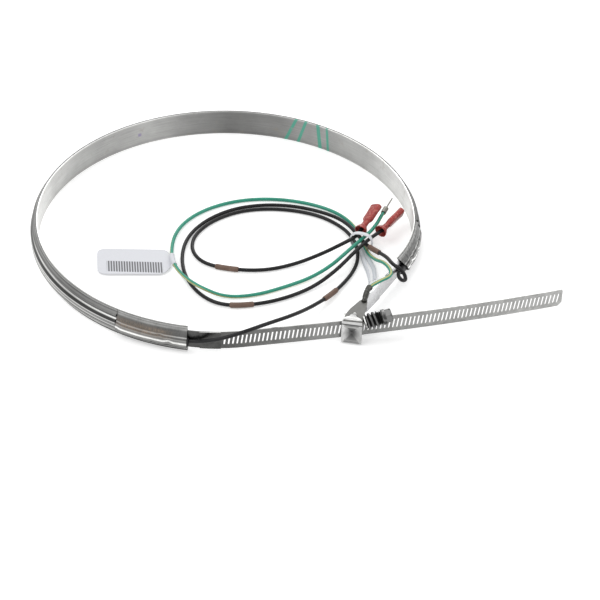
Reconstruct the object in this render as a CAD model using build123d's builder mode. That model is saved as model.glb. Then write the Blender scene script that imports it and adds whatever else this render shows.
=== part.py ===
from build123d import *
import math
import os

# Band heater: a roll-formed steel ring that carries a silicone heating cord round a
# round shell, closed by a slotted strap and a worm screw, with its leads tied inside.
# Millimetres. The origin is on the ring's axis at the lower edge of the band, +Z runs
# up along that axis, +X is to the right of the opening and +Y to the back of the ring.

# Ring
RING_RADIUS = 125.0
BAND_WIDTH = 18.2
BAND_SHEET = 0.6
LEFT_END_DEG = 261.8
LEFT_JOINT_DEG = 240.5
RIGHT_JOINT_DEG = 0.0
JOINT_GAP = 0.3
SEAT = 0.05

# The ring's right end has sprung inwards onto a tighter arc, and its end is cut askew
END_RADIUS = 92.0
END_ARC_DEG = 26.5
END_SKEW_DEG = 33.0

# Channel that holds the heating cord against the band
CHANNEL_SHEET = 0.6
FLANGE_HEIGHT = 2.2
HUMP_DEPTH = 4.2
HUMP_LOW = 5.2
HUMP_HIGH = 10.6
GROOVE_DEPTH = 1.9
RIDGE_DEPTH = 2.8

# Smooth covers over the two ends
COVER_SHEET = 0.6
COVER_DEPTH = 5.2
COVER_FLANGE = 1.9
COVER_PINCH_DEPTH = 4.5
COVER_PINCH_DEG = 4.5
COVER_TAPER_DEG = 2.0

# Heating cord inside the channel
CORD_THICKNESS = 3.2
CORD_WIDTH = 5.6
CORE_DIAMETER = 1.4
CORD_LEVEL = 7.9
CORE_BARE = 7.0
CRIMP_DIAMETER = 2.0
CRIMP_LENGTH = 10.0
PLUG_HEIGHT = 7.6
PLUG_LEVEL = 8.6
LEFT_STICK_OUT = 1.0
RIGHT_STICK_OUT = 4.5
PLUG_DEPTH = 6.0
PLUG_CLEARANCE = 0.2

# Slotted strap
STRAP_WIDTH = 12.7
STRAP_SHEET = 0.65
STRAP_LEVEL = 2.75
STRAP_TUCK_DEG = 6.0
STRAP_BEND_RADIUS = 100.0
STRAP_BEND_DEG = 20.0
STRAP_STRAIGHT = 42.0
TAIL_RADIUS = 1400.0
TAIL_DEG = 6.8
SLOT_PITCH = 2.68
SLOT_WIDTH = 1.05
SLOT_LENGTH = 6.6
SLOT_LEAN_DEG = 8.0
PLAIN_LENGTH = 23.0
TAIL_MARGIN = 1.5
TAIL_CHAMFER = 2.6
TAIL_ROUND = 1.6
DOUBLER_START = 7.5
DOUBLER_LENGTH = 13.0
DOUBLER_SHEET = 0.5

# Anchor strap
ANCHOR_SHEET = 0.6
ANCHOR_TUCK_DEG = 5.0
ANCHOR_BOW_RADIUS = 720.0
ANCHOR_BOW_DEG = 3.9
ANCHOR_SWAY_RADIUS = 35.0
ANCHOR_SWAY_DEG = 22.0
ANCHOR_FOLD_RADIUS = 3.2
ANCHOR_FOOT = 5.0
ANCHOR_DOUBLER_LENGTH = 17.0

# Clamp housing
HOUSING_CENTRE = (83.5, -114.6)
HOUSING_YAW_DEG = -9.0
HOUSING_WIDTH = 12.8
HOUSING_DEPTH = 9.6
HOUSING_LOW = 1.0
HOUSING_TOP = 16.9
HOUSING_SHEET = 0.8
BEND_DROP = 2.0
BEND_RUN = 1.5
DENT_DEPTH = 1.6
DENT_WIDTH = 10.2
TONGUE_WIDTH = 4.6
TONGUE_RISE = 1.5

# Worm screw
SCREW_START = (92.4, -113.9, 17.1)
SCREW_AXIS = (13.9, 3.3, 3.4)
THREAD_RADIUS = 5.0
THREAD_ROOT = 3.8
THREAD_LENGTH = 9.6
NECK_RADIUS = 3.0
NECK_LENGTH = 3.4
COLLAR_RADIUS = 4.7
COLLAR_LENGTH = 1.6
HEX_ACROSS_FLATS = 7.9
HEX_LENGTH = 4.6
DRIVER_SLOT = 1.2
SLOT_DEPTH = 1.4
PIVOT_RADIUS = 1.5
PIVOT_DEPTH = 7.0
PIVOT_CLEARANCE = 0.05
EAR_GAP = 0.35
EAR_RADIUS = 4.3

# Ground lug on the clamp
LUG_U = -0.4
LUG_V = 1.7
LUG_DEG = 71.5
LUG_SHEET = 0.8
LUG_HALF_WIDTH = 5.7
LUG_LENGTH = 22.0
LUG_HOLE_RADIUS = 3.0
LUG_HOLE_AT = 5.6
BARREL_RADIUS = 2.1
BARREL_LENGTH = 8.0

# Leads
LEAD_DIAMETER = 2.5
LEAD_EXIT = 5.0
GROUND_EXIT = 4.5
GROUND_DIAMETER = 2.4
ARC_SHARE = 0.45
SLEEVE_DIAMETER = 3.6
SLEEVE_CLEARANCE = 0.2
LEFT_FRONT_SLEEVE_AT = 114.0
LEFT_BUNDLE_SLEEVE_AT = 364.5
RIGHT_FRONT_SLEEVE_AT = 58.0
RIGHT_BUNDLE_SLEEVE_AT = 327.0
SLEEVE_LENGTH = 15.5
BUNDLE_SLEEVE_LENGTH = 15.5

# Push-on terminals in vinyl boots
BOOT_FUNNEL = 4.6
BOOT_FUNNEL_RADIUS = 3.9
BOOT_NECK_RADIUS = 2.3
BOOT_NECK = 3.2
BOOT_BODY = 14.8
BOOT_SHOULDER = 3.5
BOOT_WIDTH = 8.8
BOOT_THICKNESS = 4.1
BOOT_WALL = 0.6
TAB_WIDTH = 6.3
TAB_THICKNESS = 0.85
RECEPTACLE_LENGTH = 8.0
CRIMP_WALL = 0.38
CRIMP_BARREL_RADIUS = 1.3

# Ring terminal on the ground wire
RING_SHEET = 0.8
RING_OUTER_RADIUS = 3.9
RING_HOLE_RADIUS = 2.15
RING_REACH = 8.6
RING_BARREL_LENGTH = 5.2
RING_BARREL_RADIUS = 1.8

# Tie round the bundle
TIE_CENTRE = (90.4, -13.6)
TIE_YAW_DEG = -15.0
TIE_SHEET = 0.5
TIE_BREADTH = 2.2
TIE_INNER_WIDTH = 16.4
TIE_INNER_HEIGHT = 11.4
TIE_CORNER = 2.0
TIE_TAIL_RADIUS = 0.7
TIE_TAIL_FRONT = [
    (90.2, -13.6, 0.75), (90.9, -21.0, 1.0), (92.4, -31.0, 0.9), (95.2, -42.0, 0.8),
    (96.0, -53.0, 0.8),
]
TIE_TAIL_BACK = [
    (91.2, -13.6, 0.75), (92.9, -20.0, 0.9), (96.0, -29.0, 0.9), (99.6, -40.0, 0.8),
    (99.0, -50.0, 0.8),
]

# Tag folded round the ground wire
TAG_LENGTH = 45.0
TAG_HEIGHT = 27.0
TAG_THICKNESS = 0.4
TAG_NECK = 13.5
TAG_TAPER = 5.0
TAG_LEVEL = 1.3
TAG_SHIFT = 0.0
TAG_RUN = 17
WRAP_WALL = 0.35
WRAP_CLEARANCE = 0.15

# Routes of the three leads, from where each leaves the heater to its terminal
LEFT_LEAD_ROUTE = [
    (-4.0, -130.6, 12.2), (6.5, -132.2, 16.6), (17.7, -130.3, 20.0),
    (30.3, -122.2, 20.0), (46.1, -105.2, 14.0), (58.5, -86.0, 6.6), (72.0, -66.0, 2.4),
    (83.5, -45.0, 1.35), (88.4, -29.0, 1.6), (87.8, -15.0, 2.0), (85.4, -4.0, 2.0),
    (78.0, 9.5, 1.6), (64.1, 21.8, 1.35), (46.0, 28.0, 1.35), (26.0, 29.4, 1.35),
    (6.5, 24.8, 1.35), (-10.5, 12.5, 1.35), (-21.5, -5.0, 1.35), (-22.0, -23.0, 1.35),
    (-12.0, -37.5, 1.6), (10.5, -42.9, 1.9), (29.0, -41.4, 1.5), (47.0, -34.0, 1.6),
    (64.0, -27.2, 5.4), (78.0, -19.6, 8.9), (87.0, -11.8, 9.4), (90.2, -5.2, 10.4),
]
RIGHT_LEAD_ROUTE = [
    (115.6, -57.6, 8.2), (119.0, -61.6, 11.5),
    (116.2, -61.0, 18.8), (109.6, -56.4, 20.2), (106.6, -46.0, 17.8), (102.8, -34.0, 12.2),
    (94.2, -16.5, 5.4), (88.4, -5.0, 5.4), (83.0, 6.2, 5.2), (74.6, 19.0, 2.8),
    (61.0, 28.4, 1.35), (43.4, 33.6, 1.35), (23.5, 33.8, 1.35), (3.5, 28.0, 1.35),
    (-14.0, 14.0, 1.35), (-25.5, -5.5, 1.35), (-28.4, -28.0, 1.35), (-24.5, -51.0, 1.35),
    (-13.5, -71.0, 1.6), (2.0, -81.6, 1.9), (24.5, -78.8, 1.9), (43.5, -70.0, 1.5),
    (60.5, -57.6, 1.8), (74.5, -44.6, 6.0), (85.0, -30.0, 9.0), (93.4, -17.4, 9.6),
    (100.2, -8.6, 9.6), (105.0, -4.0, 10.0),
]
GROUND_ROUTE = [
    (101.6, -74.6, 20.4), (108.2, -69.6, 20.4),
    (108.6, -62.6, 20.0), (104.6, -53.6, 19.4), (99.2, -38.6, 10.4), (95.6, -24.0, 3.8),
    (92.6, -12.6, 2.0), (90.2, -3.4, 2.0), (87.4, 8.0, 1.6), (79.5, 22.0, 1.3),
    (66.0, 32.4, 1.3), (47.5, 39.2, 1.3), (26.5, 41.4, 1.3), (5.5, 37.8, 1.3),
    (-13.5, 27.8, 1.3), (-27.5, 13.0, 1.3), (-34.6, -5.5, 1.8), (-35.2, -27.0, 1.8),
    (-31.6, -44.0, 4.6), (-24.0, -57.5, 5.6), (-14.0, -66.6, 5.2), (2.5, -72.2, 1.6),
    (22.0, -68.8, 1.3), (41.0, -58.8, 1.3), (57.5, -48.6, 1.6), (71.0, -39.6, 5.6),
    (81.0, -28.4, 9.0), (88.8, -17.0, 9.3), (96.2, -6.6, 9.6), (101.0, 3.0, 10.2),
    (103.4, 9.6, 10.8),
]
LEFT_TERMINAL_AXIS = (9.7, 19.0, 5.4)
RIGHT_TERMINAL_AXIS = (12.5, 16.6, 3.0)
GROUND_TERMINAL_AXIS = (5.4, 12.9, 1.6)
VIEW_EDGE = (0.0, 0.795, -0.607)

os.makedirs("parts", exist_ok=True)


def radial_plane(centre, degrees):
    """Upright plane through a centre, with local x pointing outwards and y up."""
    turn = math.radians(degrees)
    outwards = (math.cos(turn), math.sin(turn), 0)
    across = (math.sin(turn), -math.cos(turn), 0)
    return Plane(origin=(centre[0], centre[1], 0), x_dir=outwards, z_dir=across)


def write(builder, name):
    """Label a finished piece and write it under its node's name."""
    builder.part.label = name
    export_step(builder.part, f"parts/{name}.step")


MAIN_CENTRE = (0.0, 0.0)
END_CENTRE = (RING_RADIUS - END_RADIUS, 0.0)
MAIN_AXIS = Axis((0, 0, 0), (0, 0, 1))
END_AXIS = Axis((END_CENTRE[0], END_CENTRE[1], 0), (0, 0, 1))
BAND_FACE = RING_RADIUS + BAND_SHEET
END_SHIFT = RING_RADIUS - END_RADIUS
GAP_DEG = math.degrees(JOINT_GAP / RING_RADIUS)


def skewed_end():
    """Box that trims the right end on a slant, for subtraction."""
    turn = math.radians(-END_ARC_DEG)
    middle = (END_CENTRE[0] + BAND_FACE * math.cos(turn) - END_SHIFT * math.cos(turn),
              (BAND_FACE - END_SHIFT) * math.sin(turn), BAND_WIDTH / 2)
    along = Vector(math.sin(turn), -math.cos(turn), 0)
    lean = math.radians(END_SKEW_DEG)
    normal = along * math.cos(lean) + Vector(0, 0, -1) * math.sin(lean)
    outwards = (math.cos(turn), math.sin(turn), 0)
    return Plane(origin=middle, x_dir=outwards, z_dir=normal)


SKEW_DEG = math.degrees(BAND_WIDTH / 2 * math.tan(math.radians(END_SKEW_DEG)) / END_RADIUS)
TRIM = 40.0

# Inner band: the plain face that lies on the shell
with BuildPart() as inner_band:
    with BuildSketch(radial_plane(MAIN_CENTRE, RIGHT_JOINT_DEG)):
        with Locations((RING_RADIUS + BAND_SHEET / 2, BAND_WIDTH / 2)):
            Rectangle(BAND_SHEET, BAND_WIDTH)
    revolve(axis=MAIN_AXIS, revolution_arc=LEFT_END_DEG - RIGHT_JOINT_DEG)
    with BuildSketch(radial_plane(END_CENTRE, -END_ARC_DEG - SKEW_DEG)):
        with Locations((END_RADIUS + BAND_SHEET / 2, BAND_WIDTH / 2)):
            Rectangle(BAND_SHEET, BAND_WIDTH)
    revolve(axis=END_AXIS, revolution_arc=END_ARC_DEG + SKEW_DEG)
    with BuildSketch(skewed_end()):
        Rectangle(TRIM, TRIM)
    extrude(amount=TRIM / 2, mode=Mode.SUBTRACT)
write(inner_band, "inner_band")


def channel_line(base):
    """Outer line of the roll-formed channel: flange, hump, groove, ridge, flange."""
    return [
        (base + CHANNEL_SHEET, 0),
        (base + CHANNEL_SHEET, FLANGE_HEIGHT),
        (base + HUMP_DEPTH * 0.8, FLANGE_HEIGHT + 1.4),
        (base + HUMP_DEPTH, HUMP_LOW),
        (base + HUMP_DEPTH, HUMP_HIGH),
        (base + HUMP_DEPTH * 0.72, HUMP_HIGH + 1.7),
        (base + GROOVE_DEPTH, HUMP_HIGH + 2.3),
        (base + GROOVE_DEPTH, HUMP_HIGH + 3.2),
        (base + RIDGE_DEPTH, HUMP_HIGH + 4.0),
        (base + RIDGE_DEPTH, HUMP_HIGH + 4.7),
        (base + CHANNEL_SHEET, BAND_WIDTH - FLANGE_HEIGHT + 0.2),
        (base + CHANNEL_SHEET, BAND_WIDTH),
    ]


# Outer channel: one strip, ridged along its length, spot-welded to the band
with BuildPart() as outer_channel:
    with BuildSketch(radial_plane(MAIN_CENTRE, RIGHT_JOINT_DEG + GAP_DEG)):
        with BuildLine():
            Polyline(*channel_line(BAND_FACE + SEAT))
            offset(amount=CHANNEL_SHEET, side=Side.LEFT)
        make_face()
    revolve(axis=MAIN_AXIS, revolution_arc=LEFT_JOINT_DEG - RIGHT_JOINT_DEG - 2 * GAP_DEG)
write(outer_channel, "outer_channel")


def cover_line(base, depth):
    """Outer line of a smooth end cover, with a flat flange along both edges."""
    return [
        (base + COVER_SHEET, 0),
        (base + COVER_SHEET, COVER_FLANGE),
        (base + depth * 0.82, COVER_FLANGE + 1.7),
        (base + depth, COVER_FLANGE + 3.8),
        (base + depth, BAND_WIDTH - COVER_FLANGE - 3.8),
        (base + depth * 0.82, BAND_WIDTH - COVER_FLANGE - 1.7),
        (base + COVER_SHEET, BAND_WIDTH - COVER_FLANGE),
        (base + COVER_SHEET, BAND_WIDTH),
    ]


def cover_section(centre, degrees, base, depth):
    """Closed section of an end cover on the radial plane at an angle."""
    with BuildSketch(radial_plane(centre, degrees)) as section:
        with BuildLine():
            Polyline(*cover_line(base + SEAT, depth))
            offset(amount=COVER_SHEET, side=Side.LEFT)
        make_face()
    return section.sketch


# Left end cover: bulges over the cord's splice and is pinched flat at its mouth
PINCH_FROM = LEFT_END_DEG - COVER_PINCH_DEG
TAPER_FROM = PINCH_FROM - COVER_TAPER_DEG
with BuildPart() as left_end_cover:
    add(cover_section(MAIN_CENTRE, LEFT_JOINT_DEG, BAND_FACE, COVER_DEPTH))
    revolve(axis=MAIN_AXIS, revolution_arc=TAPER_FROM - LEFT_JOINT_DEG)
    loft(
        sections=[
            cover_section(MAIN_CENTRE, TAPER_FROM, BAND_FACE, COVER_DEPTH).faces()[0],
            cover_section(MAIN_CENTRE, PINCH_FROM, BAND_FACE, COVER_PINCH_DEPTH).faces()[0],
        ],
        ruled=True,
    )
    add(cover_section(MAIN_CENTRE, PINCH_FROM, BAND_FACE, COVER_PINCH_DEPTH))
    revolve(axis=MAIN_AXIS, revolution_arc=COVER_PINCH_DEG)
write(left_end_cover, "left_end_cover")

# Right end cover: follows the tighter arc and is trimmed with the band's slant
END_FACE = END_RADIUS + BAND_SHEET
END_PINCH_TO = -END_ARC_DEG + SKEW_DEG + 1.5
END_TAPER_TO = END_PINCH_TO + COVER_TAPER_DEG
with BuildPart() as right_end_cover:
    add(cover_section(END_CENTRE, -END_ARC_DEG - SKEW_DEG, END_FACE, COVER_PINCH_DEPTH))
    revolve(axis=END_AXIS, revolution_arc=END_PINCH_TO + END_ARC_DEG + SKEW_DEG)
    loft(
        sections=[
            cover_section(END_CENTRE, END_PINCH_TO, END_FACE, COVER_PINCH_DEPTH).faces()[0],
            cover_section(END_CENTRE, END_TAPER_TO, END_FACE, COVER_DEPTH).faces()[0],
        ],
        ruled=True,
    )
    add(cover_section(END_CENTRE, END_TAPER_TO, END_FACE, COVER_DEPTH))
    revolve(axis=END_AXIS, revolution_arc=-END_TAPER_TO)
    with BuildSketch(skewed_end()):
        Rectangle(TRIM, TRIM)
    extrude(amount=TRIM / 2, mode=Mode.SUBTRACT)
write(right_end_cover, "right_end_cover")

# Places along the two arcs, measured inwards from each end
CORD_RADIUS = BAND_FACE + (HUMP_DEPTH - CHANNEL_SHEET) / 2
END_CORD_RADIUS = END_FACE + (HUMP_DEPTH - CHANNEL_SHEET) / 2
SPLICE_GAP = 0.3
SPLICE_FROM = PLUG_DEPTH + SPLICE_GAP
SPLICE_TO = SPLICE_FROM + CRIMP_LENGTH
SHEATH_FROM = SPLICE_TO + 1.0
CORE_FROM = SPLICE_TO - CORE_BARE


def left_deg(inwards):
    """Angle of a place on the main arc, a length inwards from the left end."""
    return LEFT_END_DEG - math.degrees(inwards / CORD_RADIUS)


def right_deg(inwards):
    """Angle of a place on the end arc, a length inwards from the right end."""
    return -END_ARC_DEG + math.degrees(inwards / END_CORD_RADIUS)


# Heating cord: silicone sheath with the resistance core running through it
with BuildPart() as heating_sheath:
    with BuildSketch(radial_plane(MAIN_CENTRE, 0)):
        with Locations((CORD_RADIUS, CORD_LEVEL)):
            SlotOverall(CORD_WIDTH, CORD_THICKNESS, rotation=90)
            Circle(CORE_DIAMETER / 2 + SEAT, mode=Mode.SUBTRACT)
    revolve(axis=MAIN_AXIS, revolution_arc=left_deg(SHEATH_FROM))
    with BuildSketch(radial_plane(END_CENTRE, right_deg(SHEATH_FROM))):
        with Locations((END_CORD_RADIUS, CORD_LEVEL)):
            SlotOverall(CORD_WIDTH, CORD_THICKNESS, rotation=90)
            Circle(CORE_DIAMETER / 2 + SEAT, mode=Mode.SUBTRACT)
    revolve(axis=END_AXIS, revolution_arc=-right_deg(SHEATH_FROM))
write(heating_sheath, "heating_sheath")

with BuildPart() as heating_core:
    with BuildSketch(radial_plane(MAIN_CENTRE, 0)):
        with Locations((CORD_RADIUS, CORD_LEVEL)):
            Circle(CORE_DIAMETER / 2)
    revolve(axis=MAIN_AXIS, revolution_arc=left_deg(CORE_FROM))
    with BuildSketch(radial_plane(END_CENTRE, right_deg(CORE_FROM))):
        with Locations((END_CORD_RADIUS, CORD_LEVEL)):
            Circle(CORE_DIAMETER / 2)
    revolve(axis=END_AXIS, revolution_arc=-right_deg(CORE_FROM))
write(heating_core, "heating_core")

# Crimp splices between the core and the leads, inside the covers
with BuildPart() as left_splice:
    with BuildSketch(radial_plane(MAIN_CENTRE, left_deg(SPLICE_TO))):
        with Locations((CORD_RADIUS, CORD_LEVEL)):
            Circle(CRIMP_DIAMETER / 2)
    revolve(axis=MAIN_AXIS, revolution_arc=left_deg(SPLICE_FROM) - left_deg(SPLICE_TO))
    with BuildSketch(radial_plane(MAIN_CENTRE, left_deg(SPLICE_TO + 1))):
        with Locations((CORD_RADIUS, CORD_LEVEL)):
            Circle(CORE_DIAMETER / 2 + SEAT)
    revolve(
        axis=MAIN_AXIS,
        revolution_arc=left_deg(CORE_FROM - SEAT) - left_deg(SPLICE_TO + 1),
        mode=Mode.SUBTRACT,
    )
write(left_splice, "left_splice")

with BuildPart() as right_splice:
    with BuildSketch(radial_plane(END_CENTRE, right_deg(SPLICE_FROM))):
        with Locations((END_CORD_RADIUS, CORD_LEVEL)):
            Circle(CRIMP_DIAMETER / 2)
    revolve(axis=END_AXIS, revolution_arc=right_deg(SPLICE_TO) - right_deg(SPLICE_FROM))
    with BuildSketch(radial_plane(END_CENTRE, right_deg(CORE_FROM - SEAT))):
        with Locations((END_CORD_RADIUS, CORD_LEVEL)):
            Circle(CORE_DIAMETER / 2 + SEAT)
    revolve(
        axis=END_AXIS,
        revolution_arc=right_deg(SPLICE_TO + 1) - right_deg(CORE_FROM - SEAT),
        mode=Mode.SUBTRACT,
    )
write(right_splice, "right_splice")

# Silicone plugs that close the covers' mouths round the leads
PLUG_ROOM = COVER_PINCH_DEPTH - COVER_SHEET - STRAP_SHEET
PLUG_THICKNESS = PLUG_ROOM - 2 * PLUG_CLEARANCE
LEFT_PLUG_RADIUS = BAND_FACE + STRAP_SHEET + SEAT + PLUG_CLEARANCE / 2 + PLUG_THICKNESS / 2
RIGHT_PLUG_RADIUS = END_FACE + STRAP_SHEET + SEAT + PLUG_CLEARANCE / 2 + PLUG_THICKNESS / 2

with BuildPart() as left_plug:
    with BuildSketch(radial_plane(MAIN_CENTRE, left_deg(PLUG_DEPTH))):
        with Locations((LEFT_PLUG_RADIUS, PLUG_LEVEL)):
            RectangleRounded(PLUG_THICKNESS, PLUG_HEIGHT, PLUG_THICKNESS * 0.45)
    revolve(axis=MAIN_AXIS, revolution_arc=left_deg(-LEFT_STICK_OUT) - left_deg(PLUG_DEPTH))
write(left_plug, "left_plug")

with BuildPart() as right_plug:
    with BuildSketch(radial_plane(END_CENTRE, right_deg(-RIGHT_STICK_OUT))):
        with Locations((RIGHT_PLUG_RADIUS, PLUG_LEVEL)):
            RectangleRounded(PLUG_THICKNESS, PLUG_HEIGHT, PLUG_THICKNESS * 0.45)
    revolve(axis=END_AXIS, revolution_arc=right_deg(PLUG_DEPTH) - right_deg(-RIGHT_STICK_OUT))
write(right_plug, "right_plug")

# Slotted strap: leaves the left end along the tangent and runs through the clamp
with BuildLine() as strap_path:
    strap_root = CenterArc(MAIN_CENTRE, BAND_FACE + SEAT, LEFT_END_DEG - STRAP_TUCK_DEG,
                           STRAP_TUCK_DEG)
    strap_bend = JernArc(strap_root @ 1, strap_root % 1, STRAP_BEND_RADIUS, STRAP_BEND_DEG)
    strap_run = PolarLine(strap_bend @ 1, STRAP_STRAIGHT, direction=strap_bend % 1)
    strap_tail = JernArc(strap_run @ 1, strap_run % 1, TAIL_RADIUS, TAIL_DEG)


def along_strap(distance):
    """Point and heading on the strap's inner face, a length past the ring's end."""
    for piece in (strap_bend, strap_run, strap_tail):
        if distance <= piece.length:
            share = distance / piece.length
            return piece @ share, piece % share
        distance -= piece.length
    return strap_tail @ 1, strap_tail % 1


def slot_places():
    """Middle of each slot, turned to the strap's face and leaning with its thread."""
    total = strap_bend.length + strap_run.length + strap_tail.length
    count = int((total - TAIL_MARGIN - PLAIN_LENGTH) / SLOT_PITCH) + 1
    places = []
    for number in range(count):
        point, heading = along_strap(PLAIN_LENGTH + number * SLOT_PITCH)
        face = Plane(
            origin=(point.X, point.Y, STRAP_LEVEL + STRAP_WIDTH / 2),
            x_dir=(heading.X, heading.Y, 0),
            z_dir=(heading.Y, -heading.X, 0),
        )
        places.append(face.location * Location((0, 0, 0), (0, 0, -SLOT_LEAN_DEG)))
    return places


with BuildPart() as slotted_strap:
    with BuildSketch(Plane.XY.offset(STRAP_LEVEL)):
        with BuildLine():
            add(strap_path.line)
            offset(amount=STRAP_SHEET, side=Side.RIGHT)
        make_face()
    extrude(amount=STRAP_WIDTH)
    end_edges = slotted_strap.faces().sort_by(Axis.X)[-1].edges()
    corners = end_edges.filter_by(Axis.Z, reverse=True).sort_by(Axis.Z)
    fillet(corners[-1], TAIL_ROUND)
    end_edges = slotted_strap.faces().sort_by(Axis.X)[-1].edges()
    corners = end_edges.filter_by(Axis.Z, reverse=True).sort_by(Axis.Z)
    chamfer(corners[0], TAIL_CHAMFER)
    with Locations(*slot_places()):
        Box(SLOT_WIDTH, SLOT_LENGTH, 4 * STRAP_SHEET, mode=Mode.SUBTRACT)
write(slotted_strap, "slotted_strap")

# Plain second layer spot-welded over the strap's root
doubler_from = (DOUBLER_START / STRAP_BEND_RADIUS) / math.radians(STRAP_BEND_DEG)
doubler_sweep = math.degrees(DOUBLER_LENGTH / STRAP_BEND_RADIUS)
with BuildPart() as strap_doubler:
    with BuildSketch(Plane.XY.offset(STRAP_LEVEL)):
        with BuildLine():
            start, heading = along_strap(DOUBLER_START)
            side = Vector(heading.Y, -heading.X, 0)
            JernArc(start + side * (STRAP_SHEET + SEAT), heading,
                    STRAP_BEND_RADIUS + STRAP_SHEET + SEAT, doubler_sweep)
            offset(amount=DOUBLER_SHEET, side=Side.RIGHT)
        make_face()
    extrude(amount=STRAP_WIDTH)
write(strap_doubler, "strap_doubler")

# Clamp housing's own frame: u to its right, v to the back, w up
yaw = math.radians(HOUSING_YAW_DEG)
U = Vector(math.cos(yaw), math.sin(yaw), 0)
V = Vector(-math.sin(yaw), math.cos(yaw), 0)
W = Vector(0, 0, 1)
CLAMP = Vector(HOUSING_CENTRE[0], HOUSING_CENTRE[1], 0)


def in_clamp(u, v, w):
    """Point of the clamp's own frame in the heater's frame."""
    return CLAMP + U * u + V * v + W * w


# Anchor strap: from the right end to the back of the clamp housing
with BuildLine() as anchor_path:
    anchor_root = CenterArc(END_CENTRE, END_FACE + SEAT, -END_ARC_DEG + ANCHOR_TUCK_DEG,
                            -ANCHOR_TUCK_DEG)
    anchor_bow = JernArc(anchor_root @ 1, anchor_root % 1, ANCHOR_BOW_RADIUS, -ANCHOR_BOW_DEG)
    anchor_sway = JernArc(anchor_bow @ 1, anchor_bow % 1, ANCHOR_SWAY_RADIUS, ANCHOR_SWAY_DEG)
    arrival = math.degrees(math.atan2((anchor_sway % 1).Y, (anchor_sway % 1).X)) % 360
    fold_deg = arrival - (180 + HOUSING_YAW_DEG)
    # the foot lies on the back leg, so the last straight takes what is left of the way
    fold_drop = ANCHOR_FOLD_RADIUS * (1 - math.cos(math.radians(fold_deg)))
    back_face = (HOUSING_DEPTH + ANCHOR_SHEET + SEAT)
    to_go = (anchor_sway @ 1 - CLAMP).dot(V) - back_face - ANCHOR_FOLD_RADIUS * math.cos(
        math.radians(90 - fold_deg + 90)) - ANCHOR_FOLD_RADIUS
    rate = -(anchor_sway % 1).dot(V)
    anchor_run = PolarLine(anchor_sway @ 1, max(to_go / rate, 0.4), direction=anchor_sway % 1)
    anchor_fold = JernArc(anchor_run @ 1, anchor_run % 1, ANCHOR_FOLD_RADIUS, -fold_deg)
    PolarLine(anchor_fold @ 1, ANCHOR_FOOT, direction=anchor_fold % 1)

with BuildPart() as anchor_strap:
    with BuildSketch(Plane.XY.offset(STRAP_LEVEL)):
        with BuildLine():
            add(anchor_path.line)
            offset(amount=ANCHOR_SHEET, side=Side.LEFT)
        make_face()
    extrude(amount=STRAP_WIDTH)
write(anchor_strap, "anchor_strap")

with BuildPart() as anchor_doubler:
    with BuildSketch(Plane.XY.offset(STRAP_LEVEL)):
        with BuildLine():
            share = 1 - ANCHOR_DOUBLER_LENGTH / anchor_bow.length
            start, heading = anchor_bow @ share, anchor_bow % share
            side = Vector(-heading.Y, heading.X, 0)
            JernArc(start + side * (ANCHOR_SHEET + SEAT), heading,
                    ANCHOR_BOW_RADIUS + ANCHOR_SHEET + SEAT,
                    -math.degrees(ANCHOR_DOUBLER_LENGTH / ANCHOR_BOW_RADIUS))
            offset(amount=DOUBLER_SHEET, side=Side.LEFT)
        make_face()
    extrude(amount=STRAP_WIDTH)
write(anchor_doubler, "anchor_doubler")

# Clamp housing: one bent sheet round the strap, with a dented front, a tongue that
# hooks the ground lug and an ear whose stub carries the worm screw
LUG_LEVEL = HOUSING_TOP + SEAT
LUG_FOOT = in_clamp(LUG_U, LUG_V, 0)
LUG_ALONG = Vector(math.cos(math.radians(LUG_DEG)), math.sin(math.radians(LUG_DEG)), 0)
LUG_HOLE = LUG_FOOT + LUG_ALONG * LUG_HOLE_AT
SCREW_ALONG = Vector(*SCREW_AXIS).normalized()
SCREW_FOOT = Vector(*SCREW_START)
EAR_FOOT = SCREW_FOOT - SCREW_ALONG * (EAR_GAP + HOUSING_SHEET)
tongue_u = (LUG_HOLE - CLAMP).dot(U)
tongue_v = (LUG_HOLE - CLAMP).dot(V)

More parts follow.
